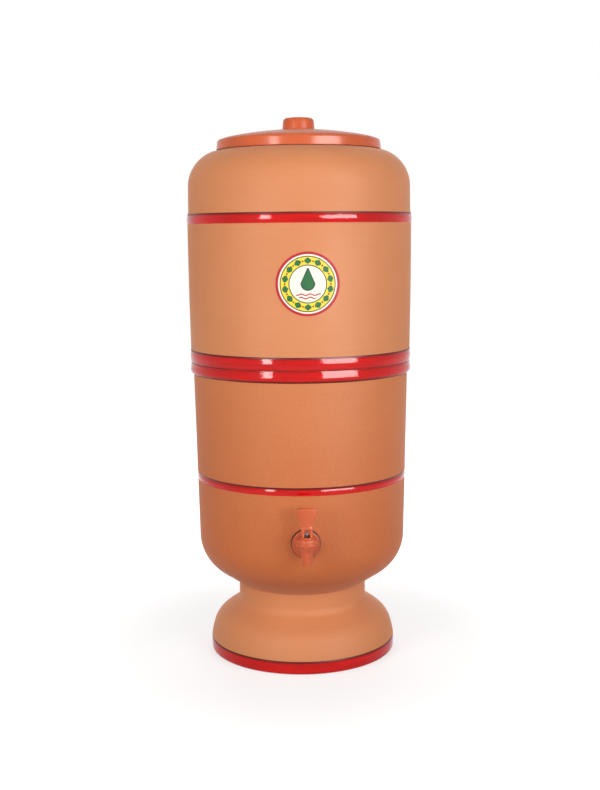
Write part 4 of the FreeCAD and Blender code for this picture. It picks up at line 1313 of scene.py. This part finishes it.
class WATERFILTER_OT_tap_lever(bpy.types.Operator):
    """Models the forked lever with its pin, and the valve stem whose head it turns on"""
    bl_idname = "waterfilter.tap_lever"
    bl_label = "Tap lever, pin and stem"

    def execute(self, context):
        t = sizes("tap")
        self.lever(t)
        half = t.foot_width / 2
        section = eased([(0.0, -half), (0.0012, -half, 0.0002), (0.0012, half, 0.0002), (0.0, half)])
        pin = self.across(t, turn("lever_pin", section, 48))
        finish(pin, "tap_lever", "tap_lever_pin", "steel")
        self.stem(t)
        return {"FINISHED"}

    def across(self, t, piece):
        """Lays an upright turned piece across the fork, at the lever's pin."""
        return apply_place(piece, (0.0, math.radians(90), 0.0), (*tap_column(), t.pin_height))

    def heel_point(self, degrees):
        """A point on the heel about the pin, whose reach grows by the stem's lift over the lever's tilt."""
        rate = STEM_LIFT / math.radians(LEVER_TILT)
        angle = math.radians(degrees)
        reach = 0.004 + rate * angle
        return (-reach * math.sin(angle) - rate * math.cos(angle),
                -reach * math.cos(angle) + rate * math.sin(angle))

    def lever(self, t):
        half = t.lever_thickness / 2
        tip = t.lever_length - half
        side = [self.heel_point(angle) for angle in range(0, LEVER_TILT + 1, 6)]
        nose = side[-1]
        side += eased([nose, (nose[0] + 0.0005, nose[1] + 0.0017, 0.0005), (-half, 0.0066, 0.0025),
                       (-half, tip)])[1:-1]
        side += arc((0.0, tip), half, 180.0, 0.0, 8)
        side += [(half, 0.0), (0.0036 - half, -0.004)]
        wide = t.paddle_width
        side = [(-wide, y - t.column_reach, z + t.pin_height) for y, z in side]
        lever = slab("moulded_lever", side, (2 * wide, 0.0, 0.0))
        foot, paddle = t.foot_width / 2, t.paddle_width / 2
        waist, flare = 0.01, t.lever_length - 0.008
        corner = 0.003
        front = [(foot, -0.005)]
        front += bow((foot, waist), (foot + 0.25 * (paddle - foot), (waist + flare) / 2),
                     (paddle - 0.0008, flare))
        front += arc((paddle - corner, t.lever_length - corner), corner, 0.0, 90.0, 8)
        self.trim(t, lever, front, "INTERSECT")
        slot = t.slot_width / 2
        self.trim(t, lever, [(slot, -0.02), (slot, 0.0049)], "DIFFERENCE")
        hole = plug("pin_hole", 0.00122, -foot - 0.001, foot + 0.001, around=48)
        combine(lever, [self.across(t, hole)], "DIFFERENCE")
        soften_edges(lever, 0.0004, 40.0, 3)
        finish(lever, "tap_lever", "tap_lever", "tap_plastic", 40.0)

    def trim(self, t, lever, right, operation):
        """Trims the lever with a front outline, given by its right-hand half about the pin."""
        deep = 0.03
        outline = right + [(-x, z) for x, z in reversed(right)]
        outline = [(x, -t.column_reach - deep, z + t.pin_height) for x, z in outline]
        combine(lever, [slab("front_outline", outline, (0.0, 2 * deep, 0.0))], operation)

    def stem(self, t):
        bottom = low("tap_stem")
        bulb_top = bottom + 0.0026
        head = t.pin_height
        bulb, rod, neck = 0.0024, 0.0018, 0.0012
        neck_low = head - 0.0042
        section = eased([(0.0, bottom), (bulb, bottom, 0.0004), (bulb, bulb_top, 0.0004), (rod, bulb_top),
                         (rod, neck_low, 0.0003), (neck, neck_low + 0.0005), (neck, head), (0.0, head)])
        stem = turn("valve_stem", section, 48, tap_column())
        eye, half = 0.0026, 0.0013
        section = eased([(0.0, -half), (eye, -half, 0.0003), (eye, half, 0.0003), (0.0, half)])
        combine(stem, [self.across(t, turn("stem_eye", section, 48))], "UNION")
        hole = plug("eye_hole", 0.00125, -0.004, 0.004, around=48)
        combine(stem, [self.across(t, hole)], "DIFFERENCE")
        finish(stem, "tap_stem", "tap_stem", "stem_plastic")


class WATERFILTER_OT_stage(bpy.types.Operator):
    """Sets the pale floor, the white surroundings, the lamps and the camera"""
    bl_idname = "waterfilter.stage"
    bl_label = "Stage, lamps and camera"

    def execute(self, context):
        scene = context.scene
        scene.view_settings.view_transform = "Standard"
        self.floor()
        self.surroundings(scene)
        for lamp in LAMPS:
            self.softbox(*lamp).visible_glossy = False
        for lamp in REFLECTION_LAMPS:
            self.softbox(*lamp).visible_diffuse = False
        self.camera(scene)
        return {"FINISHED"}

    def floor(self):
        """A floor that looks white, keeps the object's shadow and is clear from below."""
        bpy.ops.object.select_all(action="DESELECT")
        bpy.ops.mesh.primitive_circle_add(vertices=96, radius=6.0, fill_type="NGON")
        floor = bpy.context.object
        floor.name = "pale_floor"
        material = bpy.data.materials.new("Pale floor")
        material.use_nodes = True
        g = Graph(material.node_tree)
        g.tree.nodes.clear()
        grey = g.add("BsdfDiffuse", {"Color": (0.45, 0.45, 0.45, 1.0)}).outputs[0]
        x, y, _ = g.parts(g.place())
        glow = g.add("Emission", {"Strength": g.ramp(g.distance(x, y), 0.14, 0.5, 0.63, 1.0)}).outputs[0]
        dark = g.add("Emission", {"Strength": 0.0}).outputs[0]
        lift = g.add("MixShader", {0: g.seen_directly(), 1: dark, 2: glow}).outputs[0]
        total = g.add("AddShader", {0: grey, 1: lift}).outputs[0]
        clear = g.add("BsdfTransparent").outputs[0]
        below = g.add("NewGeometry").outputs["Backfacing"]
        g.add("OutputMaterial", {"Surface": g.add("MixShader", {0: below, 1: total, 2: clear}).outputs[0]})
        floor.data.materials.append(material)

    def surroundings(self, scene):
        """White surroundings that light the object more from the floor's side than from above."""
        scene.world = bpy.data.worlds.new("White surroundings")
        scene.world.use_nodes = True
        g = Graph(scene.world.node_tree)
        g.tree.nodes.clear()
        upwards = g.parts(g.add("TexCoord").outputs["Generated"])[2]
        ambient = g.ramp(upwards, 0.0, 0.75, 0.46, 0.15)
        strength = g.ramp(g.seen_directly(), 0.0, 1.0, ambient, 1.0, smooth=False)
        background = g.add("Background", {"Color": (1.0, 1.0, 1.0, 1.0), "Strength": strength})
        g.add("OutputWorld", {"Surface": background.outputs[0]})

    def softbox(self, name, azimuth, height, width, tall, power):
        """A soft rectangular lamp round the object, aimed at its middle."""
        angle = math.radians(azimuth)
        distance = 1.45
        place = Vector((distance * math.sin(angle), -distance * math.cos(angle), height))
        aim = (Vector((0.0, 0.0, 0.45)) - place).to_track_quat("-Z", "Y").to_euler()
        bpy.ops.object.light_add(type="AREA", location=place, rotation=aim)
        lamp = bpy.context.object
        lamp.name = name
        lamp.data.shape = "RECTANGLE"
        lamp.data.size = width
        lamp.data.size_y = tall
        lamp.data.energy = power
        return lamp

    def camera(self, scene):
        """The camera as fitted to the photograph, whose height and focal length are in pixels."""
        turned = Matrix.Rotation(math.radians(-2.0), 4, "Z") @ Matrix.Rotation(math.radians(90.0 - 7.772), 4,
                                                                               "X")
        turned = turned @ Matrix.Rotation(math.radians(-0.4908), 4, "Z")
        bpy.ops.object.camera_add(location=(-0.04551, -1.28104, 0.45759), rotation=turned.to_euler())
        camera = bpy.context.object
        camera.name = "photograph_camera"
        frame_height = 790.0
        camera.data.sensor_width = 36.0
        camera.data.lens = 1177.65 * camera.data.sensor_width / frame_height
        scene.camera = camera


# Each lamp's name, azimuth from the camera's side, height, width and height of its panel, and power.
LAMPS = (
    ("key_lamp", 24.0, 0.45, 0.3, 0.3, 3.0),
    ("right_softbox", 42.0, 0.8, 0.95, 1.0, 8.6),
    ("left_softbox", -42.0, 0.8, 0.6, 1.0, 9.8),
    ("front_softbox", -4.0, 0.8, 1.3, 0.8, 3.2),
    ("back_softbox", 176.0, 1.15, 1.5, 1.0, 14.0),
)
# The lamps that show only as reflections.
REFLECTION_LAMPS = (
    ("right_strip", 37.0, 0.66, 0.95, 0.76, 58.0),
    ("left_strip", -35.2, 0.66, 0.25, 0.76, 19.0),
)
GROUPS = {
    "filter_vessels": FilterVesselSizes,
    "filter_lid": FilterLidSizes,
    "filter_tap": FilterTapSizes,
    "filter_candles": FilterCandleSizes,
    "filter_colours": FilterColours,
}
OPERATORS = (
    WATERFILTER_OT_foot,
    WATERFILTER_OT_lower_vessel,
    WATERFILTER_OT_upper_vessel,
    WATERFILTER_OT_beads,
    WATERFILTER_OT_label,
    WATERFILTER_OT_lid,
    WATERFILTER_OT_candles,
    WATERFILTER_OT_floats,
    WATERFILTER_OT_tap_body,
    WATERFILTER_OT_tap_seals,
    WATERFILTER_OT_tap_seat_cup,
    WATERFILTER_OT_tap_cap,
    WATERFILTER_OT_tap_lever,
    WATERFILTER_OT_stage,
)


class WATERFILTER_PT_panel(bpy.types.Panel):
    """Lists the filter's sizes, colours and pieces"""
    bl_idname = "WATERFILTER_PT_panel"
    bl_label = "Clay water filter"
    bl_space_type = "VIEW_3D"
    bl_region_type = "UI"
    bl_category = "Water Filter"

    def draw(self, context):
        for operator in OPERATORS:
            self.layout.operator(operator.bl_idname)
        for group in GROUPS:
            box = self.layout.box()
            for name in GROUPS[group].__annotations__:
                box.prop(getattr(context.scene, group), name)


CLASSES = (*GROUPS.values(), *OPERATORS, WATERFILTER_PT_panel)


def register():
    for item in CLASSES:
        bpy.utils.register_class(item)
    for name, group in GROUPS.items():
        setattr(bpy.types.Scene, name, PointerProperty(type=group))


def unregister():
    for name in GROUPS:
        delattr(bpy.types.Scene, name)
    for item in reversed(CLASSES):
        bpy.utils.unregister_class(item)


def main():
    register()
    for operator in OPERATORS:
        family, name = operator.bl_idname.split(".")
        getattr(getattr(bpy.ops, family), name)()
    bpy.ops.object.select_all(action="DESELECT")


if __name__ == "__main__":
    main()
